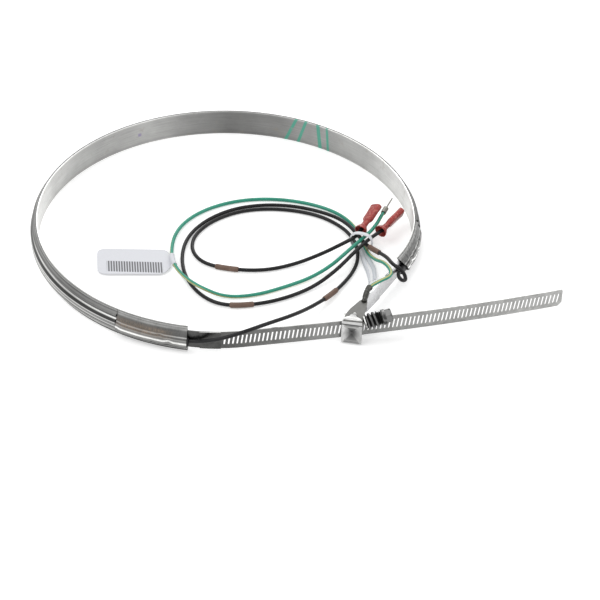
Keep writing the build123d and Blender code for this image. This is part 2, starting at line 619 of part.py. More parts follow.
with BuildPart() as clamp_housing:
    left_side = Plane(origin=in_clamp(-HOUSING_WIDTH / 2, 0, 0), x_dir=V, z_dir=U)
    with BuildSketch(left_side):
        with BuildLine():
            Polyline(
                (0, HOUSING_LOW),
                (0, HOUSING_TOP - BEND_DROP),
                (BEND_RUN, HOUSING_TOP),
                (HOUSING_DEPTH - 0.8, HOUSING_TOP),
                (HOUSING_DEPTH, HOUSING_TOP - 0.8),
                (HOUSING_DEPTH, HOUSING_LOW + 0.6),
            )
            offset(amount=HOUSING_SHEET, side=Side.RIGHT)
        make_face()
    extrude(amount=HOUSING_WIDTH)
    dent_middle = (HOUSING_LOW + HOUSING_TOP - BEND_DROP) / 2
    for shift, kind in ((HOUSING_SHEET, Mode.ADD), (0, Mode.SUBTRACT)):
        mouth = Plane(origin=in_clamp(0, shift - 0.01, dent_middle), x_dir=U, z_dir=V)
        floor = Plane(origin=in_clamp(0, shift + DENT_DEPTH, dent_middle), x_dir=U, z_dir=V)
        with BuildSketch(mouth):
            Rectangle(DENT_WIDTH, DENT_WIDTH)
        with BuildSketch(floor):
            Rectangle(DENT_WIDTH * 0.08, DENT_WIDTH * 0.08)
        loft(ruled=True, mode=kind)
    tongue_side = Plane(origin=in_clamp(tongue_u, tongue_v - HOUSING_SHEET / 2, 0), x_dir=U,
                        z_dir=-V)
    with BuildSketch(tongue_side):
        with BuildLine():
            Polyline(
                (-TONGUE_WIDTH / 2, HOUSING_TOP - 0.2),
                (TONGUE_WIDTH / 2, HOUSING_TOP - 0.2),
                (TONGUE_WIDTH / 2, LUG_LEVEL + LUG_SHEET * 0.5),
                (0.5, LUG_LEVEL + LUG_SHEET + TONGUE_RISE),
                (-0.5, LUG_LEVEL + LUG_SHEET + TONGUE_RISE),
                (-TONGUE_WIDTH / 2, LUG_LEVEL + LUG_SHEET * 0.5),
                close=True,
            )
        make_face()
    extrude(amount=-HOUSING_SHEET)
    ear = Plane(origin=EAR_FOOT, z_dir=SCREW_ALONG)
    with BuildSketch(ear):
        Circle(EAR_RADIUS)
    extrude(amount=HOUSING_SHEET)
    with BuildSketch(Plane(origin=(0, 0, HOUSING_TOP - HOUSING_SHEET))):
        with BuildLine():
            inner_side = HOUSING_WIDTH / 2 - 0.6
            Polyline(
                tuple(in_clamp(inner_side, BEND_RUN, 0))[:2],
                tuple(EAR_FOOT - V * 1.6 + U * 0.5)[:2],
                tuple(EAR_FOOT + V * 2.6 - U * 0.1)[:2],
                tuple(in_clamp(inner_side, HOUSING_DEPTH - 1.5, 0))[:2],
                close=True,
            )
        make_face()
    extrude(amount=HOUSING_SHEET)
    with BuildSketch(ear):
        Circle(PIVOT_RADIUS)
    extrude(amount=HOUSING_SHEET + EAR_GAP + PIVOT_DEPTH)
write(clamp_housing, "clamp_housing")


def screw_profile():
    """Half profile of the screw: worm thread as rings, ringed neck and collar."""
    points = [(0, 0), (THREAD_ROOT, 0)]
    rings = int((THREAD_LENGTH - 0.8) / SLOT_PITCH)
    for number in range(rings):
        low = 0.4 + number * SLOT_PITCH
        points += [(THREAD_ROOT, low), (THREAD_RADIUS, low + 0.75),
                   (THREAD_RADIUS, low + 1.35), (THREAD_ROOT, low + 2.1)]
    neck_end = THREAD_LENGTH + NECK_LENGTH
    points += [(THREAD_ROOT, THREAD_LENGTH), (NECK_RADIUS, THREAD_LENGTH),
               (NECK_RADIUS, neck_end), (COLLAR_RADIUS, neck_end),
               (COLLAR_RADIUS, neck_end + COLLAR_LENGTH), (0, neck_end + COLLAR_LENGTH)]
    return points


# Worm screw: slotted hexagon head on a collar, turning on the ear's stub
HEAD_FROM = THREAD_LENGTH + NECK_LENGTH + COLLAR_LENGTH
screw_base = Plane(origin=SCREW_FOOT, z_dir=SCREW_ALONG)
screw_side = Plane(origin=SCREW_FOOT, x_dir=screw_base.x_dir, z_dir=-screw_base.y_dir)
with BuildPart() as worm_screw:
    with BuildSketch(screw_side):
        with BuildLine():
            Polyline(*screw_profile(), close=True)
        make_face()
    revolve(axis=Axis(tuple(SCREW_FOOT), tuple(SCREW_ALONG)))
    with BuildSketch(screw_base.offset(HEAD_FROM)):
        RegularPolygon(HEX_ACROSS_FLATS / 2, 6, major_radius=False)
    extrude(amount=HEX_LENGTH)
    with BuildSketch(screw_base.offset(HEAD_FROM + HEX_LENGTH - SLOT_DEPTH)):
        Rectangle(2 * HEX_ACROSS_FLATS, DRIVER_SLOT)
    extrude(amount=SLOT_DEPTH, mode=Mode.SUBTRACT)
    with BuildSketch(screw_base):
        Circle(PIVOT_RADIUS + PIVOT_CLEARANCE)
    extrude(amount=PIVOT_DEPTH + EAR_GAP, mode=Mode.SUBTRACT)
write(worm_screw, "worm_screw")

# Ground lug: tapered plate hooked on the tongue, rolled into a barrel for the wire
LUG_ACROSS = Vector(-LUG_ALONG.Y, LUG_ALONG.X, 0)
lug_end = LUG_FOOT + LUG_ALONG * LUG_LENGTH
barrel_axis = LUG_LEVEL + BARREL_RADIUS
with BuildPart() as ground_lug:
    with BuildSketch(Plane(origin=LUG_FOOT + W * LUG_LEVEL, x_dir=LUG_ALONG, z_dir=W)):
        with BuildLine():
            Polyline(
                (0, -LUG_HALF_WIDTH + 1),
                (1, -LUG_HALF_WIDTH),
                (LUG_LENGTH * 0.42, -LUG_HALF_WIDTH * 0.82),
                (LUG_LENGTH, -BARREL_RADIUS * 0.8),
                (LUG_LENGTH + 1, -BARREL_RADIUS * 0.8),
                (LUG_LENGTH + 1, BARREL_RADIUS * 0.8),
                (LUG_LENGTH, BARREL_RADIUS * 0.8),
                (LUG_LENGTH * 0.42, LUG_HALF_WIDTH * 0.9),
                (1, LUG_HALF_WIDTH),
                (0, LUG_HALF_WIDTH - 1),
                close=True,
            )
        make_face()
        with Locations((LUG_HOLE_AT, 0)):
            Circle(LUG_HOLE_RADIUS, mode=Mode.SUBTRACT)
    extrude(amount=LUG_SHEET)
    with BuildSketch(Plane(origin=lug_end + W * barrel_axis, z_dir=LUG_ALONG)):
        Circle(BARREL_RADIUS)
    extrude(amount=BARREL_LENGTH)
    with BuildSketch(Plane(origin=lug_end + W * barrel_axis, z_dir=LUG_ALONG)):
        Circle(BARREL_RADIUS - CRIMP_WALL * 1.5)
    extrude(amount=BARREL_LENGTH * 0.5, mode=Mode.SUBTRACT)
write(ground_lug, "ground_lug")


def route_path(points):
    """Straight runs joined by tangent arcs, each as large as its two runs allow."""
    radii = []
    for before, corner, after in zip(points, points[1:], points[2:]):
        first = Vector(*corner) - Vector(*before)
        second = Vector(*after) - Vector(*corner)
        half = math.radians(first.get_angle(second)) / 2
        radii.append(ARC_SHARE * min(first.length, second.length) / math.tan(half))
    with BuildLine() as line:
        FilletPolyline(*points, radius=radii)
    return line.wires()[0], radii


def tube(path, radius, bore=0.0):
    """Round tube swept along a path, hollow if it has a bore."""
    start = Plane(origin=path @ 0, z_dir=path % 0)
    with BuildPart() as swept:
        with BuildSketch(start):
            Circle(radius)
            if bore:
                Circle(bore, mode=Mode.SUBTRACT)
        sweep(path=path)
    return swept


def report(name, path, radius, radii, solid):
    """Print a lead's length, its tightest arcs and the check of its volume."""
    expected = math.pi * radius ** 2 * path.length
    tight = ", ".join(f"{value:.0f}" for value in sorted(radii)[:4])
    print(f"{name}: length {path.length:.1f}, least radii {tight}, "
          f"volume {solid.volume / expected:.4f} of section x length")


LEFT_LEAD_START = tuple(
    radial_plane(MAIN_CENTRE, left_deg(-LEFT_STICK_OUT)).from_local_coords(
        (LEFT_PLUG_RADIUS, PLUG_LEVEL, 0)))
RIGHT_LEAD_START = tuple(
    radial_plane(END_CENTRE, right_deg(-RIGHT_STICK_OUT)).from_local_coords(
        (RIGHT_PLUG_RADIUS, PLUG_LEVEL, 0)))
GROUND_START = tuple(lug_end + LUG_ALONG * BARREL_LENGTH + W * barrel_axis)


def boot_entry(route, axis):
    """Last point of a lead: inside its boot, at the terminal's crimp."""
    return tuple(Vector(*route[-1]) + Vector(*axis).normalized() * (BOOT_FUNNEL + BOOT_NECK))


def exit_point(start, heading, length):
    """Point straight out of a plug or barrel, where the lead may begin to bend."""
    return tuple(Vector(*start) + heading * length)


left_turn = math.radians(left_deg(-LEFT_STICK_OUT))
left_heading = Vector(-math.sin(left_turn), math.cos(left_turn), 0)
right_turn = math.radians(right_deg(-RIGHT_STICK_OUT))
right_heading = Vector(math.sin(right_turn), -math.cos(right_turn), 0)
ring_along = Vector(*GROUND_TERMINAL_AXIS).normalized()

left_route = [LEFT_LEAD_START, exit_point(LEFT_LEAD_START, left_heading, LEAD_EXIT)]
left_route += LEFT_LEAD_ROUTE
left_route.append(boot_entry(left_route, LEFT_TERMINAL_AXIS))
right_route = [RIGHT_LEAD_START, exit_point(RIGHT_LEAD_START, right_heading, LEAD_EXIT)]
right_route += RIGHT_LEAD_ROUTE
right_route.append(boot_entry(right_route, RIGHT_TERMINAL_AXIS))
ground_route = [GROUND_START, exit_point(GROUND_START, LUG_ALONG, LEAD_EXIT)]
ground_route += GROUND_ROUTE
ground_route.append(exit_point(GROUND_ROUTE[-1], ring_along, GROUND_EXIT))

left_path, left_radii = route_path(left_route)
left_lead = tube(left_path, LEAD_DIAMETER / 2)
report("left_lead", left_path, LEAD_DIAMETER / 2, left_radii, left_lead.part)
write(left_lead, "left_lead")

right_path, right_radii = route_path(right_route)
right_lead = tube(right_path, LEAD_DIAMETER / 2)
report("right_lead", right_path, LEAD_DIAMETER / 2, right_radii, right_lead.part)
write(right_lead, "right_lead")

ground_path, ground_radii = route_path(ground_route)
ground_wire = tube(ground_path, GROUND_DIAMETER / 2)
report("ground_wire", ground_path, GROUND_DIAMETER / 2, ground_radii, ground_wire.part)
write(ground_wire, "ground_wire")


def sleeve(path, distance, length):
    """Brown sleeve over a splice, following its lead from a distance along it."""
    part = path.trim(distance / path.length, (distance + length) / path.length)
    return tube(part, SLEEVE_DIAMETER / 2, LEAD_DIAMETER / 2 + SLEEVE_CLEARANCE / 2)


for name, path, distance, length in (
    ("left_front_sleeve", left_path, LEFT_FRONT_SLEEVE_AT, SLEEVE_LENGTH),
    ("left_bundle_sleeve", left_path, LEFT_BUNDLE_SLEEVE_AT, BUNDLE_SLEEVE_LENGTH),
    ("right_front_sleeve", right_path, RIGHT_FRONT_SLEEVE_AT, SLEEVE_LENGTH),
    ("right_bundle_sleeve", right_path, RIGHT_BUNDLE_SLEEVE_AT, BUNDLE_SLEEVE_LENGTH),
):
    write(sleeve(path, distance, length), name)


def boot_plane(route, axis, distance=0.0):
    """Plane across a terminal's axis, with local x to the right and y up."""
    along = Vector(*axis).normalized()
    return Plane(origin=Vector(*route) + along * distance,
                 x_dir=Vector(along.Y, -along.X, 0), z_dir=along)


def boot(route, axis):
    """Vinyl boot: flared mouth, round neck and flat body open at the tip."""
    mouth = boot_plane(route, axis)
    throat = boot_plane(route, axis, BOOT_FUNNEL)
    shoulder = boot_plane(route, axis, BOOT_FUNNEL + BOOT_NECK)
    body = boot_plane(route, axis, BOOT_FUNNEL + BOOT_NECK + BOOT_SHOULDER)
    with BuildPart() as made:
        for wall, kind in ((0, Mode.ADD), (BOOT_WALL, Mode.SUBTRACT)):
            with BuildSketch(mouth):
                Circle(BOOT_FUNNEL_RADIUS - wall)
            with BuildSketch(throat):
                Circle(BOOT_NECK_RADIUS - wall)
            loft(ruled=True, mode=kind)
            with BuildSketch(throat):
                Circle(BOOT_NECK_RADIUS - wall)
            extrude(amount=BOOT_NECK, mode=kind)
            with BuildSketch(shoulder):
                Circle(BOOT_NECK_RADIUS - wall)
            with BuildSketch(body):
                RectangleRounded(BOOT_WIDTH - 2 * wall, BOOT_THICKNESS - 2 * wall,
                                 BOOT_THICKNESS / 2 - 0.2 - wall)
            loft(mode=kind)
            with BuildSketch(body):
                RectangleRounded(BOOT_WIDTH - 2 * wall, BOOT_THICKNESS - 2 * wall,
                                 BOOT_THICKNESS / 2 - 0.2 - wall)
            extrude(amount=BOOT_BODY - BOOT_SHOULDER, mode=kind)
    return made


def receptacle(route, axis):
    """Push-on receptacle: crimp barrel behind a flat box rolled over on both sides."""
    barrel = boot_plane(route, axis, BOOT_FUNNEL + BOOT_NECK)
    blade = boot_plane(route, axis, BOOT_FUNNEL + BOOT_NECK + BOOT_SHOULDER)
    with BuildPart() as made:
        with BuildSketch(barrel):
            Circle(CRIMP_BARREL_RADIUS)
        extrude(amount=BOOT_SHOULDER + 0.5)
        with BuildSketch(blade):
            Rectangle(TAB_WIDTH + 2 * CRIMP_WALL + 0.1, TAB_THICKNESS + 2 * CRIMP_WALL)
        extrude(amount=RECEPTACLE_LENGTH)
        with BuildSketch(blade.offset(RECEPTACLE_LENGTH)):
            Rectangle(TAB_WIDTH + 0.1, TAB_THICKNESS)
        extrude(amount=-RECEPTACLE_LENGTH + 1, mode=Mode.SUBTRACT)
        with BuildSketch(blade.offset(RECEPTACLE_LENGTH)):
            with Locations((0, CRIMP_WALL + TAB_THICKNESS / 2)):
                Rectangle(TAB_WIDTH * 0.35, 2 * CRIMP_WALL + 0.2)
        extrude(amount=-RECEPTACLE_LENGTH + 1, mode=Mode.SUBTRACT)
    return made


write(boot(LEFT_LEAD_ROUTE[-1], LEFT_TERMINAL_AXIS), "left_boot")
write(boot(RIGHT_LEAD_ROUTE[-1], RIGHT_TERMINAL_AXIS), "right_boot")
write(receptacle(LEFT_LEAD_ROUTE[-1], LEFT_TERMINAL_AXIS), "left_receptacle")
write(receptacle(RIGHT_LEAD_ROUTE[-1], RIGHT_TERMINAL_AXIS), "right_receptacle")

# Ring terminal on the ground wire, lying edge-on to the front
ring_face = ring_along.cross(Vector(*VIEW_EDGE)).normalized()
ring_start = Vector(*ground_route[-1])
with BuildPart() as ground_terminal:
    with BuildSketch(Plane(origin=ring_start, x_dir=ring_face, z_dir=ring_along)):
        Circle(RING_BARREL_RADIUS)
    extrude(amount=RING_BARREL_LENGTH)
    ring_plane = Plane(origin=ring_start - ring_face * RING_SHEET / 2, x_dir=ring_along,
                       z_dir=ring_face)
    with BuildSketch(ring_plane):
        with Locations(((RING_BARREL_LENGTH + RING_REACH) / 2, 0)):
            Rectangle(RING_REACH - RING_BARREL_LENGTH + 2, 2 * RING_BARREL_RADIUS - 0.4)
        with Locations((RING_REACH + RING_OUTER_RADIUS * 0.6, 0)):
            Circle(RING_OUTER_RADIUS)
            Circle(RING_HOLE_RADIUS, mode=Mode.SUBTRACT)
    extrude(amount=RING_SHEET)
write(ground_terminal, "ground_terminal")

# Tie: a closed band round both groups of strands, with its two loose ends
with BuildPart() as cable_tie:
    tie_yaw = math.radians(TIE_YAW_DEG)
    tie_plane = Plane(
        origin=(TIE_CENTRE[0], TIE_CENTRE[1], TIE_SHEET + TIE_INNER_HEIGHT / 2),
        x_dir=(math.cos(tie_yaw), math.sin(tie_yaw), 0),
        z_dir=(math.sin(tie_yaw), -math.cos(tie_yaw), 0))
    with BuildSketch(tie_plane.offset(-TIE_BREADTH / 2)):
        RectangleRounded(TIE_INNER_WIDTH + 2 * TIE_SHEET, TIE_INNER_HEIGHT + 2 * TIE_SHEET,
                         TIE_CORNER + TIE_SHEET)
        RectangleRounded(TIE_INNER_WIDTH, TIE_INNER_HEIGHT, TIE_CORNER, mode=Mode.SUBTRACT)
    extrude(amount=TIE_BREADTH)
    for points in (TIE_TAIL_FRONT, TIE_TAIL_BACK):
        tail_path, tail_radii = route_path(points)
        with BuildSketch(Plane(origin=tail_path @ 0, z_dir=tail_path % 0)):
            Circle(TIE_TAIL_RADIUS)
        sweep(path=tail_path)
write(cable_tie, "cable_tie")

# Tag: a paper label folded round the ground wire, with its two faces stuck together
tag_a, tag_b = Vector(*GROUND_ROUTE[TAG_RUN]), Vector(*GROUND_ROUTE[TAG_RUN + 1])
tag_middle = (tag_a + tag_b) / 2
wrap_radius = GROUND_DIAMETER / 2 + WRAP_CLEARANCE
tag_share = ground_path.param_at_point(tag_middle)
tag_half = TAG_NECK / 2 / ground_path.length
tag_wrap = ground_path.trim(tag_share - tag_half, tag_share + tag_half)
with BuildPart() as tag:
    with BuildSketch(Plane(origin=tag_wrap @ 0, z_dir=tag_wrap % 0)):
        Circle(wrap_radius + WRAP_WALL)
    sweep(path=tag_wrap)
    with BuildSketch(Plane(origin=(tag_middle.X, tag_middle.Y, TAG_LEVEL))):
        with BuildLine():
            Polyline(
                (-wrap_radius * 0.7, TAG_NECK * 0.45),
                (-wrap_radius * 0.7, -TAG_NECK * 0.45),
                (-wrap_radius * 1.6, -TAG_NECK * 0.48),
                (-TAG_TAPER, -TAG_HEIGHT / 2),
                (-TAG_LENGTH - 3, -TAG_HEIGHT / 2 - 2),
                (-TAG_LENGTH - 6, TAG_HEIGHT / 2 - 1),
                (-TAG_TAPER, TAG_HEIGHT / 2),
                (-wrap_radius * 1.6, TAG_NECK * 0.48),
                close=True,
            )
        make_face()
    extrude(amount=TAG_THICKNESS)
    with BuildSketch(Plane(origin=tag_wrap @ 0, z_dir=tag_wrap % 0)):
        Circle(wrap_radius)
    sweep(path=tag_wrap, mode=Mode.SUBTRACT)
write(tag, "tag")
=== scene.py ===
"""Band heater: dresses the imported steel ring, its strap clamp and its bundle of leads."""
from __future__ import annotations

import logging
import math
from dataclasses import dataclass, field
from enum import Enum
from typing import Any, Sequence

import bmesh
import bpy
from mathutils import Matrix, Vector

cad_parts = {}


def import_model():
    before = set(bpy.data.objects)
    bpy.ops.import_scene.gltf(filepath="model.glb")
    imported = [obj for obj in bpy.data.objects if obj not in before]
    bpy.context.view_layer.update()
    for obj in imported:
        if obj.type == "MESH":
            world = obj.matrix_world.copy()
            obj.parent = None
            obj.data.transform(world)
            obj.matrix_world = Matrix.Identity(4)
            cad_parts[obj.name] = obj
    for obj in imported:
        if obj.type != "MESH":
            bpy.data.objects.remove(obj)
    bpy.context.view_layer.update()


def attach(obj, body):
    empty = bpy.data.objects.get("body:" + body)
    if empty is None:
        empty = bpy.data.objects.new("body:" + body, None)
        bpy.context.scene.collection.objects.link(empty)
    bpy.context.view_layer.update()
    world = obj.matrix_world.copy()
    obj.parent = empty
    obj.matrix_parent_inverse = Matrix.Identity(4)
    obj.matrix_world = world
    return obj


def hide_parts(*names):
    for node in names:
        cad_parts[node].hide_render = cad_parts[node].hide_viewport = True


log = logging.getLogger("band_heater")

BODY = "heater"
SCREW_BODY = "screw"
MM = 0.001

Point = tuple[float, float, float]
Colour = tuple[float, float, float, float]

WIDTH = 18.2
MIDDLE_GREY = 150.0
MARKER_STROKES = ((1.238, 3.4, 0.0075), (1.170, 2.5, 0.0070), (1.061, -1.1, 0.0095),
                  (1.005, -0.7, 0.0060))
# Painted highlights and shade across the channel's section: height in millimetres and display
# shade.
CHANNEL_PAINTED_LIGHT = (
    (0.0, 100), (0.5, 62), (1.0, 160), (1.5, 70), (2.1, 84), (2.5, 235), (3.1, 215),
    (3.7, 120), (4.4, 185), (5.2, 140), (6.2, 128), (6.7, 66), (7.3, 215), (7.9, 112),
    (8.6, 140), (9.4, 108), (9.9, 210), (10.4, 66), (11.9, 60), (12.4, 190), (12.9, 84),
    (13.6, 102), (14.1, 74), (14.7, 140), (15.3, 86), (15.8, 118), (16.3, 92), (17.0, 122),
    (17.7, 165), (18.2, 112),
)
# Painted highlights and shade across the end covers' section: height in millimetres and display
# shade.
COVER_PAINTED_LIGHT = (
    (0.0, 105), (0.5, 85), (1.0, 140), (1.9, 145), (2.4, 66), (3.1, 64), (3.4, 130),
    (4.0, 175), (4.5, 96), (5.1, 84), (5.6, 150), (6.1, 128), (6.8, 150), (7.3, 248),
    (7.9, 236), (8.4, 150), (8.9, 118), (9.7, 150), (10.2, 92), (10.8, 96), (11.2, 180),
    (11.8, 92), (13.6, 96), (15.2, 104), (15.9, 150), (17.1, 138), (17.8, 170), (18.2, 115),
)
# Painted light and shade round the inner band: angle in degrees and display shade.
BAND_PAINTED_LIGHT_ROUND = (
    (0.0, 190), (10.0, 225), (25.0, 205), (42.0, 172), (58.0, 155), (75.0, 128), (92.0, 114),
    (105.0, 140), (118.0, 168), (132.0, 158), (148.0, 172), (162.0, 196), (172.0, 218),
    (185.0, 225), (215.0, 180), (262.0, 140), (335.0, 135), (350.0, 160), (360.0, 190),
)
HEM_LOW = [(1.62, 0.0), (1.62, 1.35), (1.30, 1.5)]
HEM_HIGH = [(1.30, 16.8), (1.55, 16.95), (1.55, 18.2)]
CHANNEL_SECTION = [
    (1.25, 1.8), (1.25, 2.3), (4.01, 3.6), (4.85, 5.2), (4.60, 6.9), (4.85, 8.6),
    (4.80, 10.6), (3.67, 12.0), (2.45, 12.7), (2.45, 13.8), (3.55, 14.6), (3.55, 15.3),
    (1.25, 16.2), (1.25, 16.6),
]
COVER_SECTION = [
    (1.25, 1.6), (1.25, 2.5), (4.4, 3.2), (5.85, 4.8), (5.95, 7.6), (5.4, 9.8),
    (4.2, 11.2), (3.6, 12.2), (2.9, 14.4), (1.7, 16.0), (1.25, 16.6),
]
CLAMP_CENTRE = (83.5, -114.6)
CLAMP_YAW = -9.0
TAG_MIDDLE = (-33.4, -35.5)
STRIPE_START = 0.30


def metres(points: Sequence[Point]) -> list[Vector]:
    """Turn a list of points in millimetres into vectors in metres."""
    return [Vector(point) * MM for point in points]


def deselect() -> None:
    """Deselect every object, so that an operator acts on the new piece alone."""
    for thing in bpy.context.selected_objects:
        thing.select_set(False)


def choose(*pieces: bpy.types.Object) -> None:
    """Select these pieces alone, with the first of them active.

    Args:
        pieces: The pieces to select.
    """
    deselect()
    for piece in pieces:
        piece.select_set(True)
    bpy.context.view_layer.objects.active = pieces[0]

def joined(name: str, *pieces: bpy.types.Object) -> bpy.types.Object:
    """Join pieces into the first of them.

    Args:
        name: New name of the first piece.
        pieces: The pieces to join.

    Returns:
        The first piece, which now holds all of them.
    """
    choose(*pieces)
    bpy.ops.object.join()
    pieces[0].name = name
    return pieces[0]

def modify(piece: bpy.types.Object, kind: str, **settings: Any) -> None:
    """Add a modifier to a piece and apply it.

    Args:
        piece: The piece to change.
        kind: The modifier's type.
        settings: The modifier's own settings.
    """
    choose(piece)
    modifier = piece.modifiers.new(kind, kind)
    for key, value in settings.items():
        setattr(modifier, key, value)
    bpy.ops.object.modifier_apply(modifier=modifier.name)

def smoothed(piece: bpy.types.Object, sharp: float) -> None:
    """Shade a piece smooth, with its sharper edges left sharp.

    Args:
        piece: The piece to shade.
        sharp: Angle over which an edge stays sharp, in degrees.
    """
    for polygon in piece.data.polygons:
        polygon.use_smooth = True
    piece.data.set_sharp_from_angle(angle=math.radians(sharp))

def skin(shape: bmesh.types.BMesh, rings: list[list[bmesh.types.BMVert]],
         closed: bool = True) -> None:
    """Join rings of corners with faces.

    Args:
        shape: The mesh that is being built.
        rings: Rings with as many corners each.
        closed: Whether the first and the last ring get a face of their own.
    """
    size = len(rings[0])
    for first, second in zip(rings, rings[1:]):
        for number in range(size):
            after = (number + 1) % size
            shape.faces.new((first[number], first[after], second[after], second[number]))
    if closed:
        shape.faces.new(rings[0][::-1])
        shape.faces.new(rings[-1])

def piece_from(shape: bmesh.types.BMesh, name: str,
               finish: bpy.types.Material) -> bpy.types.Object:
    """Turn a built shape into a piece.

    Args:
        shape: The mesh that was built; it is freed.
        name: The piece's name.
        finish: The piece's material.

    Returns:
        The new piece, flat where no face was made smooth.
    """
    bmesh.ops.recalc_face_normals(shape, faces=shape.faces[:])
    mesh = bpy.data.meshes.new(name)
    shape.to_mesh(mesh)
    shape.free()
    piece = bpy.data.objects.new(name, mesh)
    bpy.context.collection.objects.link(piece)
    piece.data.materials.append(finish)
    return piece

class Side(Enum):
    """Which end of the heating cord a lead comes from."""

    LEFT = "left"
    RIGHT = "right"
    GROUND = "ground"


class Value:
    """A number in a material; Python's operators on it add Math nodes."""

    def __init__(self, graph: "Graph", socket: Any) -> None:
        """Wrap a socket of a graph."""
        self.graph = graph
        self.socket = socket

    def _math(self, operation: str, *others: Any, clamp: bool = False) -> "Value":
        """Add one Math node.

        Args:
            operation: The node's operation.
            others: The second and third inputs, as values or numbers.
            clamp: Whether the result is held between 0 and 1.

        Returns:
            The node's result.
        """
        inputs = {0: self}
        inputs.update({place + 1: other for place, other in enumerate(others)})
        settings = {"operation": operation, "use_clamp": clamp}
        return Value(self.graph, self.graph.node("ShaderNodeMath", settings, inputs).outputs[0])

    def __add__(self, other: Any) -> "Value":
        """Sum."""
        return self._math("ADD", other)

    __radd__ = __add__

    def __mul__(self, other: Any) -> "Value":
        """Product."""
        return self._math("MULTIPLY", other)

    __rmul__ = __mul__

    def __sub__(self, other: Any) -> "Value":
        """Difference."""
        return self._math("SUBTRACT", other)

    def __rsub__(self, other: Any) -> "Value":
        """Difference from a plain number."""
        return self * -1.0 + other

    def __truediv__(self, other: Any) -> "Value":
        """Quotient."""
        return self._math("DIVIDE", other)

    def __pow__(self, other: Any) -> "Value":
        """Power."""
        return self._math("POWER", other)

    def clamp(self) -> "Value":
        """Hold between 0 and 1."""
        return self._math("ADD", 0.0, clamp=True)

    def sine(self) -> "Value":
        """Sine of an angle in radians."""
        return self._math("SINE")

    def absolute(self) -> "Value":
        """Size without sign."""
        return self._math("ABSOLUTE")

    def fraction(self) -> "Value":
        """Part after the point."""
        return self._math("FRACT")

    def angle_to(self, other: "Value") -> "Value":
        """Angle of the point (other, self), as atan2 gives it."""
        return self._math("ARCTAN2", other)

    def step(self, low: float, high: float) -> "Value":
        """Smooth rise from 0 at low to 1 at high."""
        return ((self - low) / (high - low)).clamp()

    def band(self, middle: float, half: float, soft: float) -> "Value":
        """One within half of the middle, falling to 0 over a soft edge."""
        return 1.0 - (self - middle).absolute().step(half, half + soft)


class Tree:
    """Node tree of a material or a world, whose nodes come from one method."""

    def __init__(self, owner: Any) -> None:
        """Empty the tree of a material or a world.

        Args:
            owner: The material or world.
        """
        owner.use_nodes = True
        self.tree = owner.node_tree
        self.tree.nodes.clear()

    def node(self, kind: str, settings: dict[str, Any], inputs: dict[Any, Any]) -> Any:
        """Add a node with its settings and the values or links of its inputs.

        Args:
            kind: The node's type.
            settings: Its own settings, set before the inputs; "stops" fills a ramp.
            inputs: Its inputs by name or number.

        Returns:
            The new node.
        """
        made = self.tree.nodes.new(kind)
        for key, value in settings.items():
            if key == "stops":
                elements = made.color_ramp.elements
                while len(elements) < len(value):
                    elements.new(0.5)
                for element, (place, colour) in zip(elements, value):
                    element.position = place
                    element.color = colour
            else:
                setattr(made, key, value)
        self.fill(made, inputs)
        return made

    def fill(self, owner: Any, inputs: dict[Any, Any]) -> None:
        """Give a node's inputs their values or links.

        Args:
            owner: The node.
            inputs: Values or sockets by the input's name or number.
        """
        for key, value in inputs.items():
            socket = owner.inputs[key]
            if isinstance(value, Value):
                self.tree.links.new(value.socket, socket)
            elif isinstance(value, bpy.types.NodeSocket):
                self.tree.links.new(value, socket)
            else:
                socket.default_value = value

    def seen(self) -> Any:
        """Tell the rays that show an object from those that light it.

        Returns:
            A socket with one for the camera and for reflected or passed light, else nothing.
        """
        path = self.node("ShaderNodeLightPath", {}, {}).outputs
        clear = self.node("ShaderNodeMath", {"operation": "MAXIMUM"}, {
            0: path["Is Glossy Ray"], 1: path["Is Transmission Ray"]})
        return self.node("ShaderNodeMath", {"operation": "MAXIMUM"}, {
            0: path["Is Camera Ray"], 1: clear.outputs[0]}).outputs[0]

